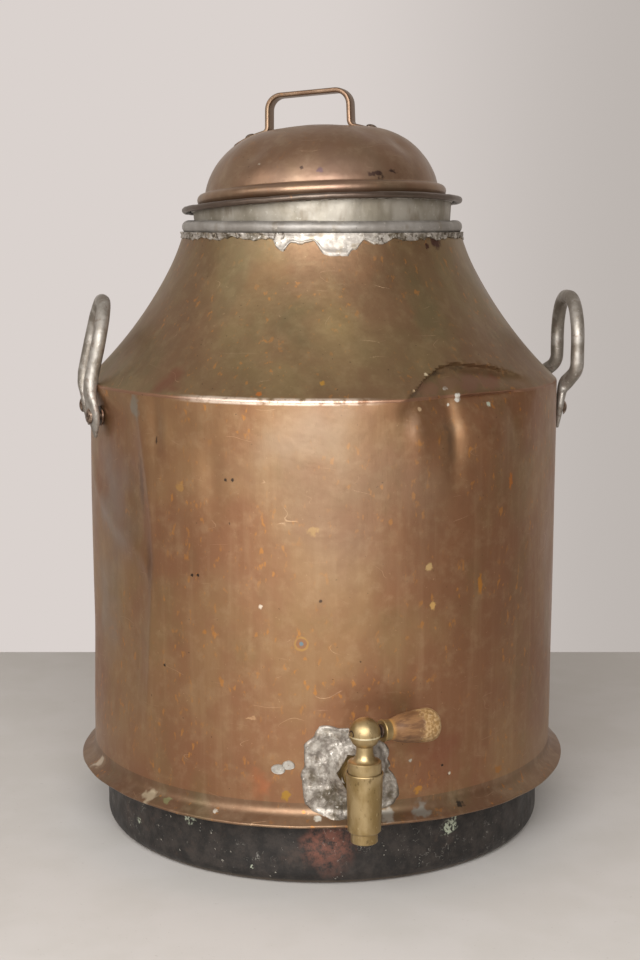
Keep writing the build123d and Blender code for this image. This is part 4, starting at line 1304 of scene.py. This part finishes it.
@dataclass
class SideHandles:
    """Two forged loops with pointed palms, in millimetres."""

    nodes: dict[str, bpy.types.Object]
    wall: float = 210.0
    legs: float = 88.0
    tip: float = 358.5
    palm_top: float = 396.0
    top: float = 480.0
    bar: float = 12.0
    corner: float = 37.0
    palm: float = 6.7
    knee_bend: float = 14.0
    rivet_height: float = 377.0
    rivet_outline: tuple[tuple[float, float], ...] = (
        (0.0, -12.0), (3.6, -11.6), (5.0, -10.0), (8.5, -9.7), (8.5, -8.4), (4.0, -8.4), (4.0, -0.2), (7.0, 0.0),
        (6.6, 1.3), (5.2, 2.6), (3.0, 3.4), (0.0, 3.6),
    )
    # Side, bearing from +X, radius and height of the knees, lean in and twist, in millimetres and degrees
    loops: tuple[tuple[str, float, float, float, float, float], ...] = (
        ("right", 0.0, 223.6, 411.0, 0.0, -4.0), ("left", 184.0, 210.3, 407.0, 12.4, 0.0),
    )

    def build(self) -> None:
        """Make both handles and dress the rivets."""
        iron = ForgedIron().build()
        rivet = HammeredRivet().build()
        for side, bearing, offset, knee, lean, twist in self.loops:
            piece = bar_object(f"{side}_handle_forged", self.rings(bearing, offset, knee, lean, twist))
            settle(piece, Body.VAT, Slot.IRON, iron, f"{side}_handle")
        for part in ("rivets", "roves"):
            dress(self.nodes[f"right_handle_{part}"], rivet)
        for end, sign in (("back", -1), ("front", 1)):
            piece = self.rivet(f"left_handle_rivet_{end}", self.loops[1][1], sign)
            settle(piece, Body.VAT, Slot.RIVET, rivet, "left_handle_rivets", "left_handle_roves")

    def rivet(self, name: str, bearing: float, sign: int) -> bpy.types.Object:
        """Hammered rivet with its washer inside the wall, through one palm.

        Args:
            name: Name of the piece.
            bearing: Direction of the handle's middle, in degrees from +X.
            sign: Which palm, -1 or 1.

        Returns:
            The rivet.
        """
        rings = turned(np.array(self.rivet_outline), 64)
        around = math.radians(bearing) + sign * math.asin(self.legs / 2 / self.wall)
        out = self.wall + self.palm + rings[..., 2]
        x = out * math.cos(around) - rings[..., 0] * math.sin(around)
        y = out * math.sin(around) + rings[..., 0] * math.cos(around)
        return closed_mesh(name, np.stack((x, y, self.rivet_height + rings[..., 1]), axis=-1), weld=True)

    def rings(self, bearing: float, offset: float, knee: float, lean: float, twist: float) -> np.ndarray:
        """Sections along one handle.

        Args:
            bearing: Direction of its middle, in degrees from +X.
            offset: Radius at which the loop stands above its knees.
            knee: Height of the knees.
            lean: Degrees that the loop leans in.
            twist: Degrees that the loop is bent round the vat from its palms.

        Returns:
            Stations by section points by three.
        """
        half = self.legs / 2
        foot = math.asin(half / self.wall)
        rise = self.top - self.bar / 2 - knee
        slope = math.radians(lean)
        over = offset - rise * math.sin(slope)
        peak = knee + rise * math.cos(slope)
        on_wall = self.wall + 3.4
        corners = []
        for sign in (-1, 1):
            x, y = on_wall * math.cos(foot), sign * on_wall * math.sin(foot)
            leg = [(x - 1.5, y, self.tip), (x, y, self.tip + 20), (x + 3.0, y, self.palm_top)]
            leg += [*swung(np.array(((offset, sign * half, knee), (over, sign * half, peak))), twist)]
            corners += leg if sign < 0 else leg[::-1]
        path = filleted(corners, (60, 12, self.knee_bend, self.corner, self.corner, self.knee_bend, 12, 60), 1.6)
        along = travelled(path)
        near = np.minimum(along, along[-1] - along)
        # From the palm's tip: a point, widest at the rivet, then narrowing into the round bar
        stations = (0, 3, 8, 14, 22, 32, 40, 48, 60)
        width = np.interp(near, stations, (3.0, 8.0, 15.5, 21.5, 25.0, 23.0, 16.5, 13.0, self.bar))
        thick = np.interp(near, stations, (2.2, 3.2, 4.6, 6.4, 7.0, 8.0, 10.5, 12.2, self.bar))
        square = np.interp(near, (0, 25, 50), (3.2, 3.0, 2.0))
        uneven = 1 + 0.02 * ripple(along, 0 * along, 26.0, int(bearing) + 2)
        flat = 1 - ease(near, 36.0, 62.0)
        aim = np.sign(path[:, 1]) * foot * flat
        normals = np.stack((np.cos(aim), np.sin(aim), 0 * aim), axis=-1)
        sections = forged(path, normals, np.stack((width * uneven, thick * uneven), axis=-1), square)
        return swung(self.hollow(sections), bearing)

    def hollow(self, rings: np.ndarray) -> np.ndarray:
        """Keep the palms on the outside of the wall."""
        radius = np.hypot(rings[..., 0], rings[..., 1])
        low = rings[..., 2] < self.palm_top + 6
        share = np.where(low & (radius < self.wall + 0.05), (self.wall + 0.05) / radius, 1.0)
        kept = rings.copy()
        kept[..., :2] *= share[..., None]
        return kept


@dataclass
class Tap:
    """Boss, barrel, key and the solder round them, in millimetres."""

    nodes: dict[str, bpy.types.Object]
    vessel: Vessel
    axis_y: float = -253.0
    waterway: float = 105.0
    nozzle_end: float = 60.0
    nozzle: float = 10.7
    bore: float = 8.0
    barrel_foot: float = 68.8
    barrel_top: float = 117.0
    barrel_rim: float = 14.9
    collar: float = 13.3
    collar_top: float = 126.0
    neck: float = 6.6
    ball_height: float = 148.5
    ball: float = 12.4
    lever_turn: float = 22.5
    lever_dip: float = 2.5
    # Clearance of the key in the barrel, and how far its collar's seat lies below the barrel's top
    play: float = 0.15
    seat: float = 2.9
    # Outlines as radius and length: shank from the wall, rod, ring and wood from the middle of the ball
    shank_start: float = 13.0
    shank_outline: tuple[tuple[float, float], ...] = (
        (0.0, 0.0), (8.0, 0.0), (8.0, 14.0), (12.5, 14.0), (12.5, 17.8), (9.0, 17.8), (9.0, 35.0), (0.0, 35.0),
    )
    rod_outline: tuple[tuple[float, float], ...] = (
        (0.0, -12.2), (3.3, -12.2), (3.5, 13.0), (5.2, 13.2), (5.2, 14.8), (3.5, 15.0), (3.5, 20.0), (0.0, 20.0),
    )
    ring_outline: tuple[tuple[float, float], ...] = (
        (3.7, 15.3), (8.3, 15.3), (8.9, 15.9), (8.9, 16.9), (8.3, 17.2), (8.3, 21.4), (7.0, 21.4), (3.7, 17.4),
    )
    wood_outline: tuple[tuple[float, float], ...] = (
        (7.4, 17.5), (7.5, 21.0), (8.9, 26.0), (10.6, 30.5), (11.7, 36.0), (12.6, 44.0), (13.5, 53.0),
        (13.6, 59.0), (12.6, 63.2), (9.8, 66.0), (5.5, 67.0), (0.0, 67.2),
    )
    # Reach of the solder in millimetres at angles in degrees, anticlockwise from the right
    solder_reach: tuple[tuple[float, float], ...] = (
        (0, 27), (30, 30), (60, 34), (80, 30), (95, 32), (112, 38), (130, 46), (150, 45), (180, 43), (205, 48),
        (225, 50), (250, 44), (275, 38), (300, 42), (325, 45), (345, 32), (360, 27),
    )
    # Dark hollows of the solder: bearing, radius, height and size
    hollows: tuple[tuple[float, float, float, float], ...] = (
        (1.5, 214.0, 84.0, 15.0), (-2.2, 214.0, 98.0, 10.0), (4.5, 213.0, 72.0, 12.0), (15.5, 214.0, 104.0, 11.0),
        (16.0, 214.0, 84.0, 12.0), (15.0, 214.0, 124.0, 8.0), (8.0, 220.0, 92.0, 9.0),
    )

    def build(self) -> None:
        """Make and dress the tap."""
        brass = TapBrass().build()
        # The socket's darker brass is grime and painted shade, where it lies in shadow behind the barrel
        dress(self.nodes["tap_boss"], TapBrass("grimy_and_shaded_socket_brass", "75623f", "54442b", "372b1b").build())
        self.barrel(brass)
        self.key(brass)
        self.solder()
        self.lever(brass)

    def barrel(self, brass: bpy.types.Material) -> None:
        """Cast barrel with its cupped lip, and its shank into the socket."""
        low, top, rim = self.barrel_foot, self.barrel_top, self.barrel_rim
        # Foot, tapered side, cupped lip and the step inside it for the key's collar
        loop = [(self.nozzle + self.play, low), (12.4, low), (13.2, low + 1.0), (14.2, top - 8.0), (14.3, top - 3.6),
                (rim, top - 1.6), (rim, top - 0.6), (rim - 0.4, top), (self.collar + 0.6, top),
                (self.collar + 0.5, top - 3.2), (self.nozzle + self.play, top - 3.4)]
        body = turned(np.array(loop), 160)
        body[..., 1] += self.axis_y
        settle(closed_mesh("tap_barrel_cast", body, crease=30.0), Body.VAT, Slot.BRASS, brass, "tap_body")
        shank = turned(np.array(self.shank_outline), 96)
        back = self.axis_y + self.shank_start + shank[..., 2]
        placed = np.stack((shank[..., 0], back, self.waterway - shank[..., 1]), axis=-1)
        piece = closed_mesh("tap_shank_turned", placed, weld=True, crease=30.0)
        settle(piece, Body.VAT, Slot.BRASS, brass, "tap_body")

    def key(self, brass: bpy.types.Material) -> None:
        """Turned key: open nozzle below, collar in the barrel's lip, flared neck and ball."""
        top, rise, root, seat = self.collar_top, 9.0, self.collar - 1.6, self.barrel_top - self.seat
        flare = [(root - (root - self.neck) * math.sin(t), top + rise * (1 - math.cos(t)))
                 for t in np.radians(np.linspace(0, 86, 12))]
        start = math.asin(self.neck / self.ball)
        balls = [(self.ball * math.sin(t), self.ball_height - self.ball * math.cos(t))
                 for t in np.linspace(start, math.pi - 0.02, 40)]
        # Bore, nozzle, straight shank, seat and collar, before the neck and the ball
        loop = [(0.0, self.waterway), (self.bore, self.waterway), (self.bore, self.nozzle_end),
                (self.nozzle - 0.5, self.nozzle_end), (self.nozzle, self.nozzle_end + 0.6),
                (self.nozzle, seat), (self.collar - 0.4, seat + 0.2), (self.collar, seat + 0.6),
                (self.collar, top - 0.8), (self.collar - 0.7, top)]
        rings = turned(np.array(loop + flare + balls + [(0.0, self.ball_height + self.ball)]), 160)
        rings[..., 1] += self.axis_y
        settle(closed_mesh("tap_key_turned", rings, weld=True, crease=35.0), Body.KEY, Slot.BRASS, brass, "tap_plug")
        sunk, proud = self.ball - 1.0, self.ball + 0.15
        line = turned(np.array(((sunk, -0.6), (proud, -0.6), (proud, 0.6), (sunk, 0.6))), 160)
        line += np.array((0.0, self.axis_y, self.ball_height - 1.6))
        # Pale brass on the ball's seam paints the highlight along its edge
        bright = TapBrass("ball_seam_highlight_brass", "e2d6b4", "c9b88c", "a8966a").build()
        settle(closed_mesh("tap_ball_seam", line, crease=30.0), Body.KEY, Slot.BRASS, bright)

    def solder(self) -> None:
        """Lumpy solder between boss, wall and flange."""
        turn = np.linspace(0, 2 * math.pi, 260, endpoint=False)
        angles, reaches = zip(*self.solder_reach)
        reach = np.interp(turn, np.radians(angles), reaches) + 1.6 * ripple(turn * 30, 0 * turn, 16.0, 31, 4)
        piece = self.vessel.patch("tap_solder_ragged", VIEW.turn, self.waterway, reach, 12.8, 2.6, 33, 4.7, 8.0)
        foul = tuple((VIEW.spot(*at), size) for *at, size in self.hollows)
        lumps = Solder("tap_solder_lumps", bright="aea79d", grey="8a8279", lumps=1.1, dirty=0.4, foul=foul)
        settle(piece, Body.VAT, Slot.SOLDER, lumps.build(), "tap_solder")

    def aim(self) -> np.ndarray:
        """Direction of the lever."""
        dip, swing = math.radians(self.lever_dip), math.radians(self.lever_turn)
        return np.array((math.cos(dip) * math.cos(swing), math.cos(dip) * math.sin(swing), -math.sin(dip)))

    def along_lever(self, rings: np.ndarray) -> np.ndarray:
        """Lay turned sections along the lever, from the middle of the ball."""
        swing = math.radians(self.lever_turn)
        side = np.array((-math.sin(swing), math.cos(swing), 0.0))
        up = np.cross(self.aim(), side)
        root = np.array((0.0, self.axis_y, self.ball_height))
        return root + rings[..., :1] * side + rings[..., 1:2] * up + rings[..., 2:] * self.aim()

    def lever(self, brass: bpy.types.Material) -> None:
        """Iron rod through the ball, brass ferrule and turned wooden handle, chipped at its end."""
        rod = turned(np.array(self.rod_outline), 64)
        iron = ForgedIron("dark_iron_rod", grey="5b4a41", brown="3a2c26", rust="6b3d2c").build()
        piece = closed_mesh("tap_rod_iron", self.along_lever(rod), weld=True, crease=30.0)
        settle(piece, Body.KEY, Slot.IRON, iron, "tap_rod")
        ring = turned(np.array(self.ring_outline), 96)
        piece = closed_mesh("tap_ferrule_ring", self.along_lever(ring), crease=30.0)
        settle(piece, Body.KEY, Slot.BRASS, brass, "tap_ferrule")
        rise = np.array(self.wood_outline)
        length = travelled(rise)
        even = np.linspace(0, length[-1], 90)
        outer = np.stack([np.interp(even, length, rise[:, i]) for i in range(2)], axis=-1)
        for _ in range(14):
            outer[1:-1] = (outer[:-2] + 2 * outer[1:-1] + outer[2:]) / 4
        loop = np.concatenate(([(0.0, self.wood_outline[0][1])], outer))
        rings = turned(loop, 120)
        angle = np.linspace(0, 2 * math.pi, 120, endpoint=False)[:, None]
        along = loop[None, :, 1]
        facet = 0.05 * ease(along, 46.0, 60.0) * ripple(angle * 12, along, 17.0, 45, 4)
        share = 1 + np.minimum(facet, 0.0) + 0.006 * ripple(angle * 12, along, 24.0, 47, 2)
        rings[..., :2] *= share[..., None]
        piece = closed_mesh("tap_handle_turned", self.along_lever(rings), weld=True, crease=50.0)
        root = np.array((0.0, self.axis_y, self.ball_height)) * MM
        wood = TurnedHardwood(along=tuple(self.aim()), root=tuple(root)).build()
        settle(piece, Body.KEY, Slot.WOOD, wood, "tap_handle")


@dataclass
class Lid:
    """Domed lid that sits askew in the neck, in millimetres."""

    nodes: dict[str, bpy.types.Object]
    height: float = 555.0
    tilt: float = 3.8
    high_side: float = -60.0
    gauge: float = 1.2
    rim_radius: float = 124.5
    roll_radius: float = 2.7
    inner: float = 101.0
    bead_radius: float = 5.5
    bead_reach: float = 110.5
    dome_lean: float = 12.0
    dome_share: float = 0.62
    dome_top: float = 70.0
    skirt_radius: float = 115.0
    skirt_taper: float = 5.0
    skirt_depth: float = 42.0
    strap_turn: float = -28.0
    strap_span: float = 83.0
    strap_top: float = 104.2
    strap_width: float = 14.0
    strap_thick: float = 4.6
    strap_bend: float = 13.0
    # Where the middle of the strap sits off the crown, on the level lid
    strap_aside: Vec3 = (-5.9, 16.0, -0.9)
    rivet_reach: float = 58.0
    rivet_head: float = 5.0
    rivet_crown: float = 2.6
    rivet_shank: float = 3.0
    rivet_lift: float = 3.6
    pad_reach: float = 74.0
    # Round knocks on the dome: bearing, height, radius, depth
    knocks: tuple[tuple[float, float, float, float], ...] = (
        (-40.0, 40.0, 12.0, 4.0), (-30.0, 50.0, 22.0, 1.2), (54.0, 46.0, 13.0, 3.4), (36.0, 58.0, 13.0, 2.2),
        (4.0, 40.0, 30.0, 0.6), (-75.0, 46.0, 20.0, 1.6), (140.0, 48.0, 18.0, 2.0), (20.0, 24.0, 14.0, 0.6),
    )

    def seat(self, points: np.ndarray) -> np.ndarray:
        """Turn points of the level lid into its askew seat."""
        high, tilt = math.radians(self.high_side), math.radians(-self.tilt)
        k = np.array((-math.sin(high), math.cos(high), 0.0))
        cross = np.array(((0, -k[2], k[1]), (k[2], 0, -k[0]), (-k[1], k[0], 0)))
        turn = np.eye(3) + math.sin(tilt) * cross + (1 - math.cos(tilt)) * cross @ cross
        return points @ turn.T + np.array((0.0, 0.0, self.height))

    def build(self) -> None:
        """Make and dress every piece of the lid."""
        self.dome()
        self.rim()
        self.skirt()
        self.strap()
        rivet = HammeredRivet("lid_rivet_copper").build()
        dress(self.nodes["lid_handle_roves"], rivet)
        self.rivets(rivet)
        dress(self.nodes["lid_rim_wire"], ForgedIron("rim_wire_iron", grey="8a837a", brown="5f5850").build())
        dress(self.nodes["lid_solder"], Solder("lid_seam_solder", lumps=0.4).build())

    def dome_stroke(self) -> Profile:
        """Outer face of the dome, from its bead to its crown."""
        stroke = Profile(self.bead_reach - self.bead_radius, self.roll_radius, 0.0, 2.0)
        stroke.bend(self.bead_radius, 180.0).bend(2.0, self.dome_lean - 90.0)
        return stroke.reach(self.dome_share, 0.0, self.dome_top, 180.0)

    def dome(self) -> None:
        """Pressed dome with its swaged bead and old knocks."""
        rings = turned(self.dome_stroke().sheet(self.gauge), 420)
        bearing, height = VIEW.bearings(rings), rings[..., 2]
        radius = np.hypot(rings[..., 0], rings[..., 1])
        push = np.zeros(radius.shape)
        for at, level, wide, deep in self.knocks:
            away = (np.radians(wrapped(bearing - at)) * radius) ** 2 + ((height - level) * 1.2) ** 2
            push += deep * np.exp(-away / wide ** 2)
        push += 0.3 * ripple(np.radians(bearing) * radius, height, 60.0, 18)
        push *= ease(height, 16.0, 24.0) * ease(radius, 6.0, 30.0)
        rings[..., :2] *= (1 - push * 0.8 / np.maximum(radius, 1.0))[..., None]
        rings[..., 2] -= push * 0.6 * ease(height, 30.0, 60.0)
        piece = closed_mesh("lid_dome_pressed", self.seat(rings), weld=True)
        finish = TarnishedCopper("lid_copper", base="997e63", ruddy="86664e", olive="7d6c54", pale="b29b80",
                                 streaks=0.15, flecks=0.35, rough=0.40, coat=0.5, marks=LID_MARKS)
        settle(piece, Body.LID, Slot.COPPER, finish.build(), "lid_dome")

    def rim(self) -> None:
        """Rim plate rolled over its wire."""
        stroke = Profile(self.inner, self.roll_radius, 0.0, 2.5)
        stroke.run(self.rim_radius - self.roll_radius - self.inner).bend(self.roll_radius, -255.0)
        rings = turned(stroke.sheet(-self.gauge), 480)
        bearing = VIEW.bearings(rings)
        reach = ease(np.hypot(rings[..., 0], rings[..., 1]), 112.0, 122.0)
        waves = 0.6 * np.sin(np.radians(3 * bearing + 60)) + 0.3 * ripple(bearing * 2.1, 0 * bearing, 40.0, 6)
        rings[..., 2] += reach * waves
        piece = closed_mesh("lid_rim_rolled", self.seat(rings))
        finish = TarnishedCopper("lid_rim_copper", base="65574c", ruddy="5a493e", olive="575045", pale="85796d",
                                 olive_share=0.6, streaks=0.1, flecks=0.3, rough=0.38)
        settle(piece, Body.LID, Slot.COPPER, finish.build(), "lid_flange")

    def skirt(self) -> None:
        """Tapered tinned plug that sits in the neck."""
        top = self.roll_radius - self.gauge
        stroke = Profile(self.skirt_radius, top, 270.0 - self.skirt_taper, 3.0).run(self.skirt_depth)
        rings = turned(stroke.sheet(-1.5), 480)
        bearing = VIEW.bearings(rings)
        uneven = 0.35 * ripple(bearing * 2.0, rings[..., 2], 45.0, 9)
        rings[..., :2] *= (1 - np.abs(uneven) / self.skirt_radius)[..., None]
        piece = closed_mesh("lid_skirt_tinned", self.seat(rings))
        finish = Tinned("tinned_lid_skirt", tin="a49d91", dull="8a8273")
        settle(piece, Body.LID, Slot.TINNED, finish.build(), "lid_skirt")

    def crown(self, radius: float) -> float:
        """Height of the dome at a radius."""
        outline = np.array(self.dome_stroke().points)
        top = outline[outline[:, 1] > self.dome_top / 3][::-1]
        return float(np.interp(radius, top[:, 0], top[:, 1]))

    def on_lid(self, points: np.ndarray) -> np.ndarray:
        """Turn points of the strap's own frame into place on the lid."""
        return self.seat(swung(points, self.strap_turn) + np.array(self.strap_aside))

    def rivets(self, finish: bpy.types.Material) -> None:
        """Two round-headed rivets through the strap's pads."""
        turns = np.radians(np.linspace(-18, 90, 14))
        cap = np.stack((self.rivet_head * np.cos(turns), self.rivet_crown * np.sin(turns)), axis=-1)
        rings = turned(np.concatenate(([(0.0, -4.0), (self.rivet_shank, -4.0)], cap)), 48)
        x, y, z = rings[..., 0], rings[..., 1], rings[..., 2]
        slope = (self.crown(self.rivet_reach + 8) - self.crown(self.rivet_reach - 8)) / 16.0
        for sign, side in ((-1, "left"), (1, "right")):
            angle = -sign * math.atan(slope)
            along = x * math.cos(angle) + z * math.sin(angle) + sign * self.rivet_reach
            height = z * math.cos(angle) - x * math.sin(angle) + self.crown(self.rivet_reach) + self.rivet_lift
            placed = self.on_lid(np.stack((along, y, height), axis=-1))
            piece = closed_mesh(f"lid_rivet_{side}", placed, weld=True)
            settle(piece, Body.LID, Slot.RIVET, finish, "lid_handle_rivets")

    def strap(self) -> None:
        """Strap handle with a round pad at each foot."""
        leg = (self.strap_span - self.strap_thick) / 2
        lift = self.strap_thick / 2 + 0.2
        bar = self.strap_top - self.strap_thick / 2
        foot = [(out, 0, self.crown(out) + lift + more)
                for out, more in ((self.pad_reach, -0.6), (leg + 14, 0.0), (leg, 0.6))]
        corners = [(-x, y, z) for x, y, z in foot] + [(-leg + 1.5, 0, bar - 0.5), (leg, 0, bar)] + foot[::-1]
        path = filleted(corners, (60, 5, self.strap_bend, self.strap_bend, 5, 60), 1.2)
        along = travelled(path)
        near = np.minimum(along, along[-1] - along)
        # From the pad's edge: a thin round pad, then a thicker strap of one width
        stations = (0, 1.5, 4, 8, 14, 22, 30, 38, 60)
        wide = np.interp(near, stations, (5, 10, 15, 18.0, 18.6, 17.0, 14.5, self.strap_width, self.strap_width))
        thick = np.interp(near, (0, 3, 24, 40), (1.6, 2.8, 3.2, self.strap_thick))
        ahead = np.gradient(path, axis=0)
        normals = np.stack((-ahead[:, 2], 0 * along, ahead[:, 0]), axis=-1)
        sections = forged(path, normals, np.stack((wide, thick), axis=-1), np.full(len(path), 4.5))
        piece = bar_object("lid_handle_strap", self.on_lid(sections))
        finish = TarnishedCopper("strap_copper", base="80644d", ruddy="6f5241", olive="6a634e", pale="a68e77",
                                 olive_share=0.5, streaks=0.1, flecks=0.4, rough=0.36,
                                 marks=(Mark(32.0, 616.0, 9.0, "5f7f68", 0.5, radius=60.0),))
        settle(piece, Body.LID, Slot.COPPER, finish.build(), "lid_handle")


@dataclass
class Studio:
    """Pale floor, soft front light and the camera of the photograph."""

    floor_back: float = 0.541
    floor_half: float = 3.0
    floor_colour: str = "c8c4c0"
    floor_worn: str = "c4c0bb"
    floor_speck: str = "8f867e"
    # Wall seen behind the vat: painted lighter on the left and darker on the right, as the light falls off
    wall_left: str = "dad2ce"
    wall_right: str = "bcb5b0"
    room_front: str = "726a63"
    room_behind: str = "c4bcb5"
    room_left: str = "a49a90"
    ceiling: str = "b0a9a2"
    # Name, place, aim, size and power of each lamp, in metres and watts
    lights: tuple[tuple[str, Vec3, Vec3, tuple[float, float], float], ...] = (
        ("soft_front", (-0.20, -1.75, 1.05), (0.0, 0.0, 0.32), (1.8, 1.2), 52.0),
        ("soft_left", (-1.9, -0.9, 1.5), (0.0, 0.0, 0.3), (1.0, 1.4), 8.0),
    )

    def build(self) -> None:
        """Make camera, floor, light and surroundings."""
        self.camera()
        self.floor()
        self.lamps()
        self.world()
        bpy.context.scene.view_settings.view_transform = "Standard"

    def camera(self) -> None:
        """Camera at the photograph's viewpoint."""
        data = bpy.data.cameras.new("camera")
        data.sensor_fit = "VERTICAL"
        data.sensor_height = VIEW.sensor
        data.lens = VIEW.focal_px * VIEW.sensor / VIEW.frame_px
        eye = bpy.data.objects.new("camera", data)
        eye.location = VIEW.place(VIEW.aside, -VIEW.distance, VIEW.height)
        eye.rotation_euler = (math.radians(90.0 - VIEW.pitch), 0.0, math.radians(-VIEW.turn))
        bpy.context.scene.camera = stand(eye)

    def floor(self) -> None:
        """Smooth painted floor whose far edge is the foot of the wall."""
        mesh = bpy.data.meshes.new("studio_floor")
        corners = [VIEW.place(x, y, 0.0) for x, y in (
            (-self.floor_half, -self.floor_half), (self.floor_half, -self.floor_half),
            (self.floor_half, self.floor_back), (-self.floor_half, self.floor_back))]
        mesh.from_pydata([tuple(c) for c in corners], [], [(0, 1, 2, 3)])
        floor = stand(bpy.data.objects.new("studio_floor", mesh))
        g = Graph(bpy.data.materials.new("painted_floor"))
        colour = g.stain(self.floor_colour, self.floor_worn, g.patches(0.35, 0.65, 70.0, 4.0, seed=2.0))
        colour = g.stain(colour, self.floor_speck, g.patches(0.68, 0.78, 3.0, 2.0, seed=5.0, top=0.25))
        dress(floor, g.finish(colour, 0.0, 0.62, Specular_IOR_Level=0.3))

    def lamps(self) -> None:
        """Large soft lamp by the camera and a weaker one on the left."""
        for name, at, aim, size, power in self.lights:
            data = bpy.data.lights.new(name, "AREA")
            data.shape = "RECTANGLE"
            data.size, data.size_y = size
            data.energy = power
            lamp = bpy.data.objects.new(name, data)
            lamp.location = VIEW.place(*at)
            look = VIEW.place(*aim) - lamp.location
            lamp.rotation_euler = look.to_track_quat("-Z", "Y").to_euler()
            stand(lamp)

    def world(self) -> None:
        """Pale wall behind the vat, painted lighter on the left and darker on the right as the light falls off across
        it; the room on its other sides is dimmer.
        """
        world = bpy.data.worlds.new("room")
        bpy.context.scene.world = world
        g = Graph(world)
        way = g.add("ShaderNodeTexCoord", take="Generated")

        def toward(at: Vec3, low: float, high: float, top: float = 1.0) -> Socket:
            """Mask of the directions of view that point that way.

            Args:
                at: The way, with the view along +Y.
                low: Cosine at which the mask is 0.
                high: Cosine at which it is full.
                top: The full mask.

            Returns:
                The mask.
            """
            near = g.add("ShaderNodeVectorMath", {"operation": "DOT_PRODUCT"}, way, VIEW.place(*at), take="Value")
            return g.add("ShaderNodeMapRange", SMOOTH, near, low, high, 0.0, top)

        # Painted fall-off of light across the wall behind the vat, lighter on the left
        wall_with_painted_falloff = g.stain(self.wall_left, self.wall_right, toward((1.0, 0.0, 0.0), -0.02, 0.2))
        room = g.stain(self.room_front, self.room_behind, toward((0.0, 1.0, 0.0), -0.1, 0.75))
        room = g.stain(room, self.room_left, toward((-0.8, -0.6, 0.1), 0.3, 0.95, 0.6))
        room = g.stain(room, self.ceiling, toward((0.0, 0.0, 1.0), 0.45, 0.95, 0.7))
        direct = g.add("ShaderNodeMath", {"operation": "MAXIMUM"},
                       *(g.add("ShaderNodeLightPath", take=f"Is {ray} Ray") for ray in ("Camera", "Transmission")))
        back = g.add("ShaderNodeBackground", None, Color=g.stain(room, wall_with_painted_falloff, direct), Strength=1.0)
        g.add("ShaderNodeOutputWorld", None, back)


def main() -> None:
    """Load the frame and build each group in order."""
    logging.basicConfig(level=logging.INFO, format="%(name)s: %(message)s")
    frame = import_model()
    Studio().build()
    vessel = Vessel()
    vessel.build()
    SideHandles(frame["nodes"]).build()
    Tap(frame["nodes"], vessel).build()
    Lid(frame["nodes"]).build()


if __name__ == "__main__":
    main()
